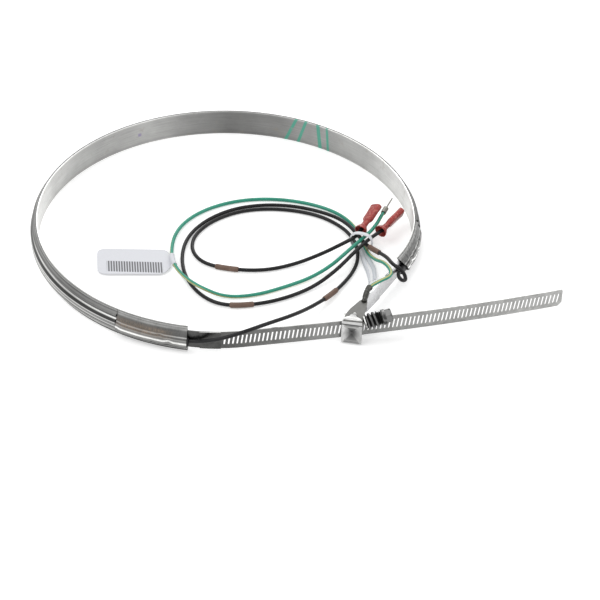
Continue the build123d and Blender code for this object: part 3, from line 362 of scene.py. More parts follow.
class Graph(Tree):
    """Node material built around one Principled shader."""

    def __init__(self, name: str) -> None:
        """Create the material with its shader and output.

        Args:
            name: The material's name.
        """
        self.material = bpy.data.materials.new(name)
        super().__init__(self.material)
        self.shader = self.tree.nodes.new("ShaderNodeBsdfPrincipled")
        self.output = self.tree.nodes.new("ShaderNodeOutputMaterial")
        self.tree.links.new(self.shader.outputs[0], self.output.inputs["Surface"])

    def place(self) -> tuple[Value, Value, Value, Any]:
        """Object coordinates as three values, and as one vector.

        Returns:
            The three values and the vector.
        """
        where = self.node("ShaderNodeTexCoord", {}, {}).outputs["Object"]
        parts = self.node("ShaderNodeSeparateXYZ", {}, {0: where}).outputs
        return Value(self, parts[0]), Value(self, parts[1]), Value(self, parts[2]), where

    def vector(self, x: Any, y: Any, z: Any) -> Any:
        """Vector of three values."""
        return self.node("ShaderNodeCombineXYZ", {}, {0: x, 1: y, 2: z}).outputs[0]

    def uv(self, name: str) -> tuple[Value, Value]:
        """The two coordinates of a UV map.

        Args:
            name: The map's name.

        Returns:
            The two coordinates.
        """
        where = self.node("ShaderNodeUVMap", {"uv_map": name}, {}).outputs[0]
        parts = self.node("ShaderNodeSeparateXYZ", {}, {0: where}).outputs
        return Value(self, parts[0]), Value(self, parts[1])

    def noise(self, vector: Any, scale: float, detail: float = 3.0, rough: float = 0.55) -> Value:
        """Noise between 0 and 1 over a vector.

        Args:
            vector: Place to read the noise at.
            scale: Scale of the noise; more is finer.
            detail: Levels of detail.
            rough: Strength of the finer levels.

        Returns:
            The noise.
        """
        made = self.node(
            "ShaderNodeTexNoise", {"noise_dimensions": "3D"},
            {"Vector": vector, "Scale": scale, "Detail": detail, "Roughness": rough})
        return Value(self, made.outputs["Fac"])

    def ramp(self, value: Value, stops: list[tuple[float, Colour]]) -> Any:
        """Colour ramp over a value."""
        return self.node("ShaderNodeValToRGB", {"stops": stops}, {0: value}).outputs[0]

    def shades(self, value: Value, stops: Sequence[tuple[float, float]]) -> Any:
        """Grey ramp over a value, from pairs of a place and a display shade."""
        return self.ramp(value, [(place, grey(shade)) for place, shade in stops])

    def mix(self, share: Any, first: Any, second: Any, kind: str = "MIX") -> Any:
        """Blend two colours.

        Args:
            share: Share of the second colour.
            first: The first colour.
            second: The second colour.
            kind: The way they blend.

        Returns:
            The blend's socket.
        """
        made = self.node("ShaderNodeMix", {"data_type": "RGBA", "blend_type": kind},
                         {0: share, 6: first, 7: second})
        return made.outputs[2]

    def multiply(self, colour: Any, other: Any) -> Any:
        """Multiply a colour.

        Args:
            colour: The colour.
            other: Another colour, or a value for all its parts.

        Returns:
            The product's socket.
        """
        if isinstance(other, Value):
            other = self.vector(other, other, other)
        return self.mix(1.0, colour, other, "MULTIPLY")

    def vector_math(self, kind: str, first: Any, second: Any, output: int = 0) -> Any:
        """Result of a Vector Math node."""
        made = self.node("ShaderNodeVectorMath", {"operation": kind}, {0: first, 1: second})
        return made.outputs[output]

    def facing(self) -> Value:
        """How far a face looks up, from -1 to 1.

        Returns:
            The value.
        """
        way = self.node("ShaderNodeTexCoord", {}, {}).outputs["Normal"]
        parts = self.node("ShaderNodeSeparateXYZ", {}, {0: way}).outputs
        return Value(self, parts[2])

    def bump(self, height: Value, strength: float, distance: float) -> Any:
        """Normal that a height gives."""
        return self.node("ShaderNodeBump", {}, {
            "Height": height, "Strength": strength, "Distance": distance}).outputs[0]

    def finish(self, **inputs: Any) -> bpy.types.Material:
        """Fill the shader's inputs, named with underscores for spaces."""
        self.fill(self.shader, {key.replace("_", " "): value for key, value in inputs.items()})
        return self.material


def grey(shade: float) -> Colour:
    """Neutral colour, from a display shade of 0 to 255 to linear light.

    Args:
        shade: The display shade.

    Returns:
        The linear colour.
    """
    share = shade / 255
    level = share / 12.92 if share <= 0.04045 else ((share + 0.055) / 1.055) ** 2.4
    return (level, level, level * 0.99, 1.0)

def gain() -> float:
    """Factor that undoes the darkening of one shade ramp by another of middle grey."""
    return 1.0 / grey(MIDDLE_GREY)[0]


@dataclass(frozen=True)
class RolledSteel:
    """Stainless strip of the ring, with light and shade painted across its section and along the
    ring.
    """

    name: str
    # Painted light and shade: display shades by height across the section and by angle along the
    # ring.
    across: tuple[tuple[float, float], ...] = ((0.0, 150.0), (18.2, 150.0))
    along: tuple[tuple[float, float], ...] = ((0.0, 150.0), (360.0, 150.0))
    roughness: float = 0.36
    streaks: float = 0.30
    marks: bool = False
    # Heat tint, and painted highlights and shade of the crushed right cover.
    heat_tint_and_crush_shade: bool = False

    def build(self) -> bpy.types.Material:
        """Make the material.

        Returns:
            The material.
        """
        graph = Graph(self.name)
        x, y, z, where = graph.place()
        turn = y.angle_to(x)
        full = (turn / (2 * math.pi) + 1.0).fraction()
        fine = graph.noise(graph.vector(turn * 2.2, z * 900.0, 0.0), 2.4, 5.0, 0.68)
        broad = graph.noise(where, 34.0, 4.0, 0.6)
        blotch = graph.noise(where, 110.0, 5.0, 0.62)
        # Painted highlights and shade, by height across the section and by angle round the ring.
        level = graph.shades(z / (WIDTH * MM), [(low / WIDTH, tone) for low, tone in self.across])
        way = graph.shades(full, [(low / 360, tone) for low, tone in self.along])
        colour = graph.multiply(level, way)
        lift = (fine * self.streaks * 2.2 + broad * 0.55 + blotch * 0.35
                - self.streaks * 1.1 - 0.45 + 1.0) * gain()
        colour = graph.multiply(colour, lift)
        if self.heat_tint_and_crush_shade:
            weave = graph.noise(graph.vector(turn * 380.0, z * 500.0, 0.0), 1.0, 4.0, 0.7)
            tint = (turn.band(-1.945, 0.10, 0.08) * z.band(0.0118, 0.0016, 0.0020)
                    * weave.step(0.40, 0.62) * 0.7)
            colour = graph.mix(tint, colour, (0.26, 0.19, 0.135, 1))
            # Painted highlights and shade of crushed wrinkles near the right cover's end, over
            # random tone.
            dents = graph.noise(graph.vector(turn * 55.0, z * 330.0, 0.0), 1.0, 3.0, 0.6)
            crush_light_and_shade = turn.band(-0.25, 0.22, 0.05) * (dents.step(0.34, 0.66) - 0.48) * 0.8
            crease = (weave - 0.5) * 0.9 + (blotch - 0.5) * 0.7 + crush_light_and_shade + 1.0
            colour = graph.multiply(colour, crease)
        if self.marks:
            colour = self._markers(graph, colour, turn, z, blotch)
        rough = (self.roughness + (blotch - 0.5) * 0.3).clamp()
        return graph.finish(
            Base_Color=colour, Metallic=1.0, Roughness=rough,
            Normal=graph.bump(fine * 0.7 + blotch * 0.3, 0.12, 0.0004))

    def _markers(self, graph: Graph, colour: Any, turn: Value, z: Value, blotch: Value) -> Any:
        """Four green marker strokes, a purple spot and a few brown stains.

        Args:
            graph: The material's graph.
            colour: The steel's colour so far.
            turn: Angle round the ring.
            z: Height above the table.
            blotch: Noise that breaks up the strokes.

        Returns:
            The colour with the strokes on it.
        """
        stain = blotch.step(0.60, 0.70) * 0.30
        colour = graph.mix(stain, colour, (0.24, 0.21, 0.17, 1))
        for middle, lean, half in MARKER_STROKES:
            off = turn + (z - 0.009) * lean
            stroke = off.band(middle, half, 0.004) * blotch.step(0.26, 0.42) * 0.8
            colour = graph.mix(stroke, colour, (0.06, 0.33, 0.24, 1))
        spot = turn.band(2.13, 0.006, 0.008) * z.band(0.0085, 0.0008, 0.0008) * 0.6
        return graph.mix(spot, colour, (0.20, 0.15, 0.33, 1))


@dataclass(frozen=True)
class BentSteel:
    """Bent sheet, with light and shade painted by how far each face looks up and by its place
    along X.
    """

    name: str
    # Painted light and shade: display shades by how far a face looks up, and along X.
    facing: tuple[tuple[float, float], ...]
    along: tuple[tuple[float, float], ...] = ((-150.0, 150.0), (250.0, 150.0))
    tint: Point = (1.0, 1.0, 1.0)
    roughness: float = 0.36
    scale: float = 320.0
    contrast: float = 0.5
    relief: float = 0.12

    def build(self) -> bpy.types.Material:
        """Make the material.

        Returns:
            The material.
        """
        graph = Graph(self.name)
        x, _, _, where = graph.place()
        grain = graph.noise(where, self.scale, 5.0, 0.65)
        broad = graph.noise(where, self.scale * 0.22, 3.0)
        # Painted light and shade by how far each face looks up and by place along X.
        up = graph.facing()
        shade = graph.shades(up * 0.5 + 0.5, [
            (low * 0.5 + 0.5, tone) for low, tone in self.facing])
        first, last = self.along[0][0], self.along[-1][0]
        place = (x * 1000.0 - first) / (last - first)
        way = graph.shades(place, [
            ((low - first) / (last - first), tone) for low, tone in self.along])
        colour = graph.multiply(shade, way)
        lift = ((grain + broad - 1.0) * self.contrast + 1.0) * gain()
        lifted = graph.vector(lift * self.tint[0], lift * self.tint[1], lift * self.tint[2])
        colour = graph.multiply(colour, lifted)
        rough = (self.roughness + (grain - 0.5) * 0.3).clamp()
        return graph.finish(Base_Color=colour, Metallic=1.0, Roughness=rough,
                            Normal=graph.bump(grain, self.relief, 0.0003))


@dataclass(frozen=True)
class PlainMetal:
    """Drawn or turned metal with a fine uneven surface."""

    name: str
    colour: Point
    dark: Point
    roughness: float = 0.35
    scale: float = 300.0
    relief: float = 0.12

    def build(self) -> bpy.types.Material:
        """Make the material.

        Returns:
            The material.
        """
        graph = Graph(self.name)
        _, _, _, where = graph.place()
        grain = graph.noise(where, self.scale, 4.0, 0.6)
        broad = graph.noise(where, self.scale * 0.2, 2.0)
        tone = (grain * 0.7 + broad * 0.9 - 0.3).clamp()
        colour = graph.mix(tone, (*self.dark, 1), (*self.colour, 1))
        rough = (self.roughness + 0.1 - tone * 0.18).clamp()
        return graph.finish(Base_Color=colour, Metallic=1.0, Roughness=rough,
                            Normal=graph.bump(grain, self.relief, 0.0003))


@dataclass(frozen=True)
class DentedSteel:
    """Pressed sheet with a four-sided dent, painted with light and shade on its facets,
    highlights on its ridges and lip, and shade that darkens towards its middle.
    """

    name: str

    def build(self) -> bpy.types.Material:
        """Make the material; the sheet's UV map gives the way across and up.

        Returns:
            The material.
        """
        graph = Graph(self.name)
        _, _, _, where = graph.place()
        grain = graph.noise(where, 520.0, 4.0, 0.65)
        across, up = graph.uv("Face")
        side = (across - 0.5) * 2.15
        rise = (up - 0.2475) * 4.1
        far_side = (side * side + 1e-9).clamp() ** 0.5
        far_rise = (rise * rise + 1e-9).clamp() ** 0.5
        level = (far_rise - far_side).step(-0.10, 0.10)
        # Painted light and shade: the side facets lighter, the top and bottom facets darker.
        side_facet_light = graph.mix(side.step(-0.05, 0.05), grey(200), grey(174))
        end_facet_shade = graph.mix(rise.step(-0.05, 0.05), grey(134), grey(136))
        colour = graph.mix(level, side_facet_light, end_facet_shade)
        # Painted highlight along the dent's ridges.
        gap = ((far_rise - far_side) * (far_rise - far_side) + 1e-9).clamp() ** 0.5
        ridge_highlight = (1.0 - gap.step(0.02, 0.16)) * 0.45
        colour = graph.mix(ridge_highlight, colour, grey(205))
        # Painted shade, darkest in the dent's middle.
        deep_shade = 1.0 - (far_side * far_side + far_rise * far_rise + 1e-9).clamp() ** 0.5
        colour = graph.mix(deep_shade.step(0.05, 0.75) * 0.85, colour, grey(52))
        # Painted shade along the bend below the lip, and painted highlight on the lip.
        lid = up.step(0.490, 0.500)
        line = up.band(0.482, 0.010, 0.008)
        colour = graph.mix(line * 0.8, colour, grey(50))
        lip = graph.shades((up - 0.5) / 0.15, (
            (0.0, 110), (0.03, 186), (0.22, 206), (0.50, 228), (0.82, 165), (1.0, 96)))
        colour = graph.mix(lid, colour, lip)
        lift = (grain - 0.5) * 0.7 + 1.0
        colour = graph.multiply(colour, lift)
        return graph.finish(Base_Color=colour, Metallic=1.0,
                            Roughness=(grain * 0.25 + 0.28).clamp(),
                            Normal=graph.bump(grain, 0.15, 0.0003))


@dataclass(frozen=True)
class ScrewSteel:
    """Dark turned steel, with painted shade black between the threads and painted light grey on
    their crests and the head.
    """

    name: str
    start: Point = (92.4, -113.9, 17.1)
    axis: Point = (13.9, 3.3, 3.4)

    def build(self) -> bpy.types.Material:
        """Make the material, with light and shade painted by the distance from the screw's axis.

        Returns:
            The material.
        """
        graph = Graph(self.name)
        _, _, _, where = graph.place()
        ahead = Vector(self.axis).normalized()
        offset = graph.vector_math("SUBTRACT", where, tuple(Vector(self.start) * MM))
        along = Value(graph, graph.vector_math("DOT_PRODUCT", offset, tuple(ahead), 1))
        reach = Value(graph, graph.vector_math("LENGTH", offset, (0.0, 0.0, 0.0), 1))
        radius = (reach * reach - along * along + 1e-9).clamp() ** 0.5
        grain = graph.noise(where, 600.0, 4.0, 0.6)
        # Painted shade, black in the thread roots, lighter on the crests.
        shade = graph.shades((radius * 1000.0) / 6.0, (
            (0.0, 22), (0.66, 26), (0.74, 38), (0.82, 66), (0.87, 104), (1.0, 90)))
        head = along.step(0.0098, 0.0104)
        # Painted light and shade on the head by how far each face looks up.
        head_light_and_shade = graph.shades(graph.facing() * 0.5 + 0.5, (
            (0.0, 45), (0.45, 58), (0.60, 128), (0.72, 72), (0.90, 86), (1.0, 168)))
        colour = graph.mix(head, shade, graph.mix(grain * 0.4, head_light_and_shade, grey(92)))
        return graph.finish(Base_Color=colour, Metallic=1.0,
                            Roughness=(grain * 0.2 + 0.24).clamp(),
                            Normal=graph.bump(grain, 0.12, 0.0002))


@dataclass(frozen=True)
class Rubber:
    """Soft insulation with a faint sheen and a fine uneven skin."""

    name: str
    colour: Point
    pale: Point
    roughness: float = 0.42
    scale: float = 420.0
    sheen: float = 0.22

    def build(self) -> bpy.types.Material:
        """Make the material.

        Returns:
            The material.
        """
        graph = Graph(self.name)
        _, _, _, where = graph.place()
        skin = graph.noise(where, self.scale, 3.0)
        dust = graph.noise(where, self.scale * 0.25, 4.0, 0.65)
        colour = graph.mix(dust.step(0.45, 0.75) * 0.5, (*self.colour, 1), (*self.pale, 1))
        rough = (self.roughness + (dust - 0.5) * 0.25).clamp()
        return graph.finish(Base_Color=colour, Roughness=rough,
                            Specular_IOR_Level=self.sheen,
                            Normal=graph.bump(skin, 0.10, 0.0003))


@dataclass(frozen=True)
class StripedInsulation:
    """Green insulation with one yellow stripe that wanders round the wire."""

    name: str
    green: Point = (0.020, 0.30, 0.20)
    yellow: Point = (0.50, 0.50, 0.20)
    stripe: float = 0.060

    def build(self) -> bpy.types.Material:
        """Make the material; the wire's UV map gives the way round and along.

        Returns:
            The material.
        """
        graph = Graph(self.name)
        _, _, _, where = graph.place()
        around, along = graph.uv("Route")
        dirt = graph.noise(where, 140.0, 4.0, 0.6)
        wander = (along * 26.0).sine() * 0.10 + (along * 9.0 + 1.3).sine() * 0.13
        place = (around + wander + STRIPE_START).fraction()
        line = place.band(0.5, self.stripe, 0.03)
        colour = graph.mix(line, (*self.green, 1), (*self.yellow, 1))
        colour = graph.mix(dirt.step(0.5, 0.8) * 0.3, colour, (0.02, 0.08, 0.06, 1))
        rough = (0.30 + dirt * 0.2).clamp()
        return graph.finish(Base_Color=colour, Roughness=rough,
                            Normal=graph.bump(dirt, 0.06, 0.0003))


@dataclass(frozen=True)
class Vinyl:
    """Red, slightly see-through vinyl of the terminals' boots, with painted shade in its creases.
    """

    name: str
    colour: Point = (0.46, 0.050, 0.042)
    pale: Point = (0.66, 0.200, 0.165)
    # Painted shade in the creases.
    deep_shade: Point = (0.22, 0.018, 0.018)

    def build(self) -> bpy.types.Material:
        """Make the material.

        Returns:
            The material.
        """
        graph = Graph(self.name)
        x, y, z, where = graph.place()
        cloud = graph.noise(where, 420.0, 4.0, 0.65)
        crease = graph.noise(graph.vector(x * 900.0 - y * 420.0, y * 60.0, z * 700.0),
                             1.0, 3.0, 0.6)
        colour = graph.mix(cloud.step(0.50, 0.66), (*self.colour, 1), (*self.pale, 1))
        # Painted shade: darker red along the creases.
        colour = graph.mix(crease.step(0.52, 0.72) * 0.75, colour, (*self.deep_shade, 1))
        return graph.finish(Base_Color=colour, Roughness=(0.20 + cloud * 0.2).clamp(),
                            Transmission_Weight=0.22, IOR=1.45,
                            Normal=graph.bump(crease * 0.7 + cloud * 0.5, 0.45, 0.0006))


@dataclass(frozen=True)
class Paper:
    """Off-white paper with plain bars where a label has its print."""

    name: str
    colour: Point = (0.74, 0.75, 0.79)
    bars: bool = False

    def build(self) -> bpy.types.Material:
        """Make the material; the bars are evenly spaced and say nothing.

        Returns:
            The material.
        """
        graph = Graph(self.name)
        x, y, _, where = graph.place()
        fibre = graph.noise(where, 500.0, 4.0, 0.6)
        colour = graph.mix(fibre, (*(0.93 * c for c in self.colour), 1), (*self.colour, 1))
        if self.bars:
            across = y * 1000.0 - TAG_MIDDLE[1]
            along = x * 1000.0 - TAG_MIDDLE[0] + across * 0.12
            strip = across.band(-6.6, 5.6, 0.25) * along.band(-25.0, 18.4, 0.15)
            lines = (along / 1.72).fraction().band(0.5, 0.27, 0.10)
            colour = graph.mix(strip * lines * 0.85, colour, (0.05, 0.05, 0.06, 1))
        return graph.finish(Base_Color=colour, Roughness=0.55,
                            Normal=graph.bump(fibre, 0.08, 0.0002))


def in_clamp(u: float, v: float, w: float) -> Vector:
    """Point of the clamp's own frame, in metres: u to its right, v back, w up.

    Args:
        u: Way to the right.
        v: Way back.
        w: Way up.

    Returns:
        The point.
    """
    turn = math.radians(CLAMP_YAW)
    return Vector((CLAMP_CENTRE[0] + u * math.cos(turn) - v * math.sin(turn),
                   CLAMP_CENTRE[1] + u * math.sin(turn) + v * math.cos(turn), w)) * MM


def loft(name: str, rings: list[list[Vector]],
         finish: bpy.types.Material) -> bpy.types.Object:
    """Closed mesh through rings of points.

    Args:
        name: The piece's name.
        rings: Rings with as many points each, in metres.
        finish: The piece's material.

    Returns:
        The new piece.
    """
    shape = bmesh.new()
    skin(shape, [[shape.verts.new(point) for point in ring] for ring in rings])
    piece = piece_from(shape, name, finish)
    smoothed(piece, 40)
    return piece

def smooth_line(name: str, points: Sequence[Point]) -> list[Vector]:
    """Points along the smooth curve that a few points in millimetres control.

    Args:
        name: The curve's name.
        points: The points that control it.

    Returns:
        The curve's points.
    """
    curve = bpy.data.curves.new(name, "CURVE")
    curve.dimensions = "3D"
    spline = curve.splines.new("NURBS")
    spline.points.add(len(points) - 1)
    for slot, point in zip(spline.points, metres(points)):
        slot.co = (*point, 1.0)
    spline.order_u = 3
    spline.use_endpoint_u = True
    spline.resolution_u = 10
    made = bpy.data.objects.new(name, curve)
    bpy.context.collection.objects.link(made)
    mesh = bpy.data.meshes.new_from_object(made)
    line = [vertex.co.copy() for vertex in mesh.vertices]
    bpy.data.objects.remove(made)
    bpy.data.curves.remove(curve)
    bpy.data.meshes.remove(mesh)
    return line


LEFT_ROUTE: list[Point] = [
    (-17.24, -126.66, 8.6), (-12.28, -127.33, 8.6), (-4.0, -130.6, 12.2), (6.5, -132.2, 16.6),
    (17.7, -130.3, 20.0), (30.3, -122.2, 20.0), (46.1, -105.2, 14.0), (58.5, -86.0, 6.6),
    (72.0, -66.0, 2.4), (83.5, -45.0, 1.35), (88.4, -29.0, 1.6), (87.8, -15.0, 2.0),
    (85.4, -4.0, 2.0), (78.0, 9.5, 1.6), (64.1, 21.8, 1.35), (46.0, 28.0, 1.35),
    (26.0, 29.4, 1.35), (6.5, 24.8, 1.35), (-10.5, 12.5, 1.35), (-21.5, -5.0, 1.35),
    (-22.0, -23.0, 1.35), (-12.0, -37.5, 1.6), (10.5, -42.9, 1.9), (29.0, -41.4, 1.5),
    (47.0, -34.0, 1.6), (64.0, -27.2, 5.4), (78.0, -19.6, 8.9), (87.0, -11.8, 9.4),
    (90.2, -5.2, 10.4), (93.64, 1.53, 12.31),
]
RIGHT_ROUTE: list[Point] = [
    (115.75, -46.31, 8.6), (113.31, -50.67, 8.6), (115.6, -57.6, 8.2), (119.0, -61.6, 11.5),
    (116.2, -61.0, 18.8), (109.6, -56.4, 20.2), (106.6, -46.0, 17.8), (102.8, -34.0, 12.2),
    (94.2, -16.5, 5.4), (88.4, -5.0, 5.4), (83.0, 6.2, 5.2), (74.6, 19.0, 2.8),
    (61.0, 28.4, 1.35), (43.4, 33.6, 1.35), (23.5, 33.8, 1.35), (3.5, 28.0, 1.35),
    (-14.0, 14.0, 1.35), (-25.5, -5.5, 1.35), (-28.4, -28.0, 1.35), (-24.5, -51.0, 1.35),
    (-13.5, -71.0, 1.6), (2.0, -81.6, 1.9), (24.5, -78.8, 1.9), (43.5, -70.0, 1.5),
    (60.5, -57.6, 1.8), (74.5, -44.6, 6.0), (85.0, -30.0, 9.0), (93.4, -17.4, 9.6),
    (100.2, -8.6, 9.6), (105.0, -4.0, 10.0), (109.64, 2.17, 11.11),
]
GROUND_ROUTE: list[Point] = [
    (92.89, -84.41, 19.05), (94.48, -79.67, 19.05), (101.6, -74.6, 20.4), (108.2, -69.6, 20.4),
    (108.6, -62.6, 20.0), (104.6, -53.6, 19.4), (99.2, -38.6, 10.4), (95.6, -24.0, 3.8),
    (92.6, -12.6, 2.0), (90.2, -3.4, 2.0), (87.4, 8.0, 1.6), (79.5, 22.0, 1.3),
    (66.0, 32.4, 1.3), (47.5, 39.2, 1.3), (26.5, 41.4, 1.3), (5.5, 37.8, 1.3),
    (-13.5, 27.8, 1.3), (-27.5, 13.0, 1.3), (-34.6, -5.5, 1.8), (-35.2, -27.0, 1.8),
    (-31.6, -44.0, 4.6), (-24.0, -57.5, 5.6), (-14.0, -66.6, 5.2), (2.5, -72.2, 1.6),
    (22.0, -68.8, 1.3), (41.0, -58.8, 1.3), (57.5, -48.6, 1.6), (71.0, -39.6, 5.6),
    (81.0, -28.4, 9.0), (88.8, -17.0, 9.3), (96.2, -6.6, 9.6), (101.0, 3.0, 10.2),
    (103.4, 9.6, 10.8), (105.13, 13.72, 11.31),
]


@dataclass
class Tube:
    """Round tube that follows a line of points, with the way round and along as UVs."""

    name: str
    line: list[Vector]
    radius: float
    finish: bpy.types.Material
    swell: list[float] = field(default_factory=list)
    sides: int = 20

    def frames(self) -> list[tuple[Vector, Vector, Vector]]:
        """Point, side and up direction along the line, without twist.

        Returns:
            One frame for each point of the line.
        """
        result = []
        side = Vector((0, 0, 1))
        for place, point in enumerate(self.line):
            before = self.line[max(place - 1, 0)]
            after = self.line[min(place + 1, len(self.line) - 1)]
            heading = (after - before).normalized()
            side = (side - heading * side.dot(heading)).normalized()
            result.append((point, side, heading.cross(side)))
        return result

    def build(self) -> bpy.types.Object:
        """Make the tube as a closed mesh with round ends.

        Returns:
            The piece.
        """
        shape = bmesh.new()
        route = shape.loops.layers.uv.new("Route")
        rings = []
        lengths = [0.0]
        for first, second in zip(self.line, self.line[1:]):
            lengths.append(lengths[-1] + (second - first).length)
        for place, (point, side, up) in enumerate(self.frames()):
            radius = self.radius * (self.swell[place] if self.swell else 1.0)
            ring = []
            for number in range(self.sides):
                turn = 2 * math.pi * number / self.sides
                ring.append(shape.verts.new(
                    point + (side * math.cos(turn) + up * math.sin(turn)) * radius))
            rings.append(ring)
        for row, (first, second) in enumerate(zip(rings, rings[1:])):
            for number in range(self.sides):
                after = (number + 1) % self.sides
                face = shape.faces.new((first[number], first[after], second[after],
                                        second[number]))
                face.smooth = True
                spots = ((number, row), (number + 1, row), (number + 1, row + 1),
                         (number, row + 1))
                for loop, (column, step) in zip(face.loops, spots):
                    loop[route].uv = (column / self.sides, lengths[step])
        shape.faces.new(rings[0][::-1])
        shape.faces.new(rings[-1])
        return piece_from(shape, self.name, self.finish)


@dataclass
class Lead:
    """One lead: its smooth route and its tube."""

    side: Side
    points: list[Point]
    diameter: float
    finish: bpy.types.Material

    def build(self) -> tuple[bpy.types.Object, list[Vector]]:
        """Make the lead's tube and give it its finish.

        Returns:
            The tube and the points that it follows.
        """
        line = smooth_line(f"{self.side.value}_route", self.points)
        name = "ground_wire_cord" if self.side is Side.GROUND else f"{self.side.value}_lead_cord"
        tube = Tube(name, line, self.diameter / 2, self.finish).build()
        log.info("%s: %d points", name, len(line))
        return tube, line


def stretch(line: list[Vector], start: float, length: float) -> list[Vector]:
    """Part of a line between two distances along it.

    Args:
        line: The points of the whole line.
        start: Distance from its first point to the part.
        length: Length of the part.

    Returns:
        The part's points, with both ends exact.
    """
    result: list[Vector] = []
    walked = 0.0
    for first, second in zip(line, line[1:]):
        step = (second - first).length
        for limit in (start, start + length):
            if walked <= limit < walked + step:
                result.append(first.lerp(second, (limit - walked) / step))
        if start < walked + step < start + length:
            result.append(second.copy())
        walked += step
    return sorted(result, key=lambda point: nearest(line, point))


def nearest(line: list[Vector], point: Vector) -> float:
    """Distance along a line of the place nearest to a point.

    Args:
        line: The line.
        point: The point.

    Returns:
        The distance.
    """
    best, place, walked = 1e9, 0.0, 0.0
    for first, second in zip(line, line[1:]):
        way = second - first
        share = min(1.0, max(0.0, (point - first).dot(way) / way.length_squared))
        off = (first + way * share - point).length
        if off < best:
            best, place = off, walked + share * way.length
        walked += way.length
    return place


@dataclass
class Sleeve:
    """Brown sleeve over a splice, a little swollen in its middle and worn at its ends."""

    name: str
    node: str
    line: list[Vector]
    start: float
    length: float
    finish: bpy.types.Material
    radius: float = 1.8 * MM

    def build(self) -> bpy.types.Object:
        """Make the sleeve along its lead.

        Returns:
            The piece.
        """
        part = stretch(self.line, self.start, self.length)
        fine: list[Vector] = []
        for first, second in zip(part, part[1:]):
            fine += [first.lerp(second, share / 4) for share in range(4)]
        fine.append(part[-1])
        total = sum((b - a).length for a, b in zip(fine, fine[1:]))
        swell, walked = [], 0.0
        for place, point in enumerate(fine):
            if place:
                walked += (point - fine[place - 1]).length
            edge = min(walked, total - walked)
            swell.append(0.80 + 0.20 * min(1.0, edge / 0.0008) ** 0.5)
        piece = Tube(self.name, fine, self.radius, self.finish, swell).build()
        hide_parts(self.node)
        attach(piece, BODY)
        return piece


@dataclass(frozen=True)
class Bend:
    """Way round the ring: the main arc first, then the tighter arc of its sprung end."""

    bore: float = 125.0
    end_bore: float = 92.0
    end_degrees: float = 26.5
    skew_degrees: float = 33.0
    width: float = WIDTH

    def point(self, degrees: float, out: float, level: float) -> Vector:
        """Point on the ring.

        Args:
            degrees: Angle on the main arc, or below zero the share of the end arc
                that is passed, as if the end were square.
            out: Distance outwards from the bore, in millimetres.
            level: Height above the table, in millimetres.

        Returns:
            The point in metres.
        """
        if degrees > 0:
            turn = math.radians(degrees)
            return Vector(((self.bore + out) * math.cos(turn),
                           (self.bore + out) * math.sin(turn), level)) * MM
        reach = (level - self.width / 2) * math.tan(math.radians(self.skew_degrees))
        last = self.end_degrees + math.degrees(reach / self.end_bore)
        turn = math.radians(degrees / self.end_degrees * last)
        centre = self.bore - self.end_bore
        return Vector((centre + (self.end_bore + out) * math.cos(turn),
                       (self.end_bore + out) * math.sin(turn), level)) * MM


@dataclass(frozen=True)
class Press:
    """Shallow dent or bulge pressed into a shell, with its middle, depth and spread."""

    degrees: float
    level: float
    depth: float
    wide: float
    tall: float

    def at(self, degrees: float, level: float) -> float:
        """Depth of the dent at a place.

        Args:
            degrees: Angle round the ring.
            level: Height on the band.

        Returns:
            The depth.
        """
        far = ((degrees - self.degrees) / self.wide) ** 2 + (
            (level - self.level) / self.tall) ** 2
        return self.depth * math.exp(-far)


def rounded(points: list[tuple[float, float]], passes: int) -> list[tuple[float, float]]:
    """Cut the corners of a line of points a number of times, keeping its ends.

    Args:
        points: The line's points.
        passes: Number of times.

    Returns:
        The points of the cut line.
    """
    for _ in range(passes):
        fresh = [points[0]]
        for (ax, ay), (bx, by) in zip(points, points[1:]):
            fresh.append((ax * 0.75 + bx * 0.25, ay * 0.75 + by * 0.25))
            fresh.append((ax * 0.25 + bx * 0.75, ay * 0.25 + by * 0.75))
        points = fresh + [points[-1]]
    return points


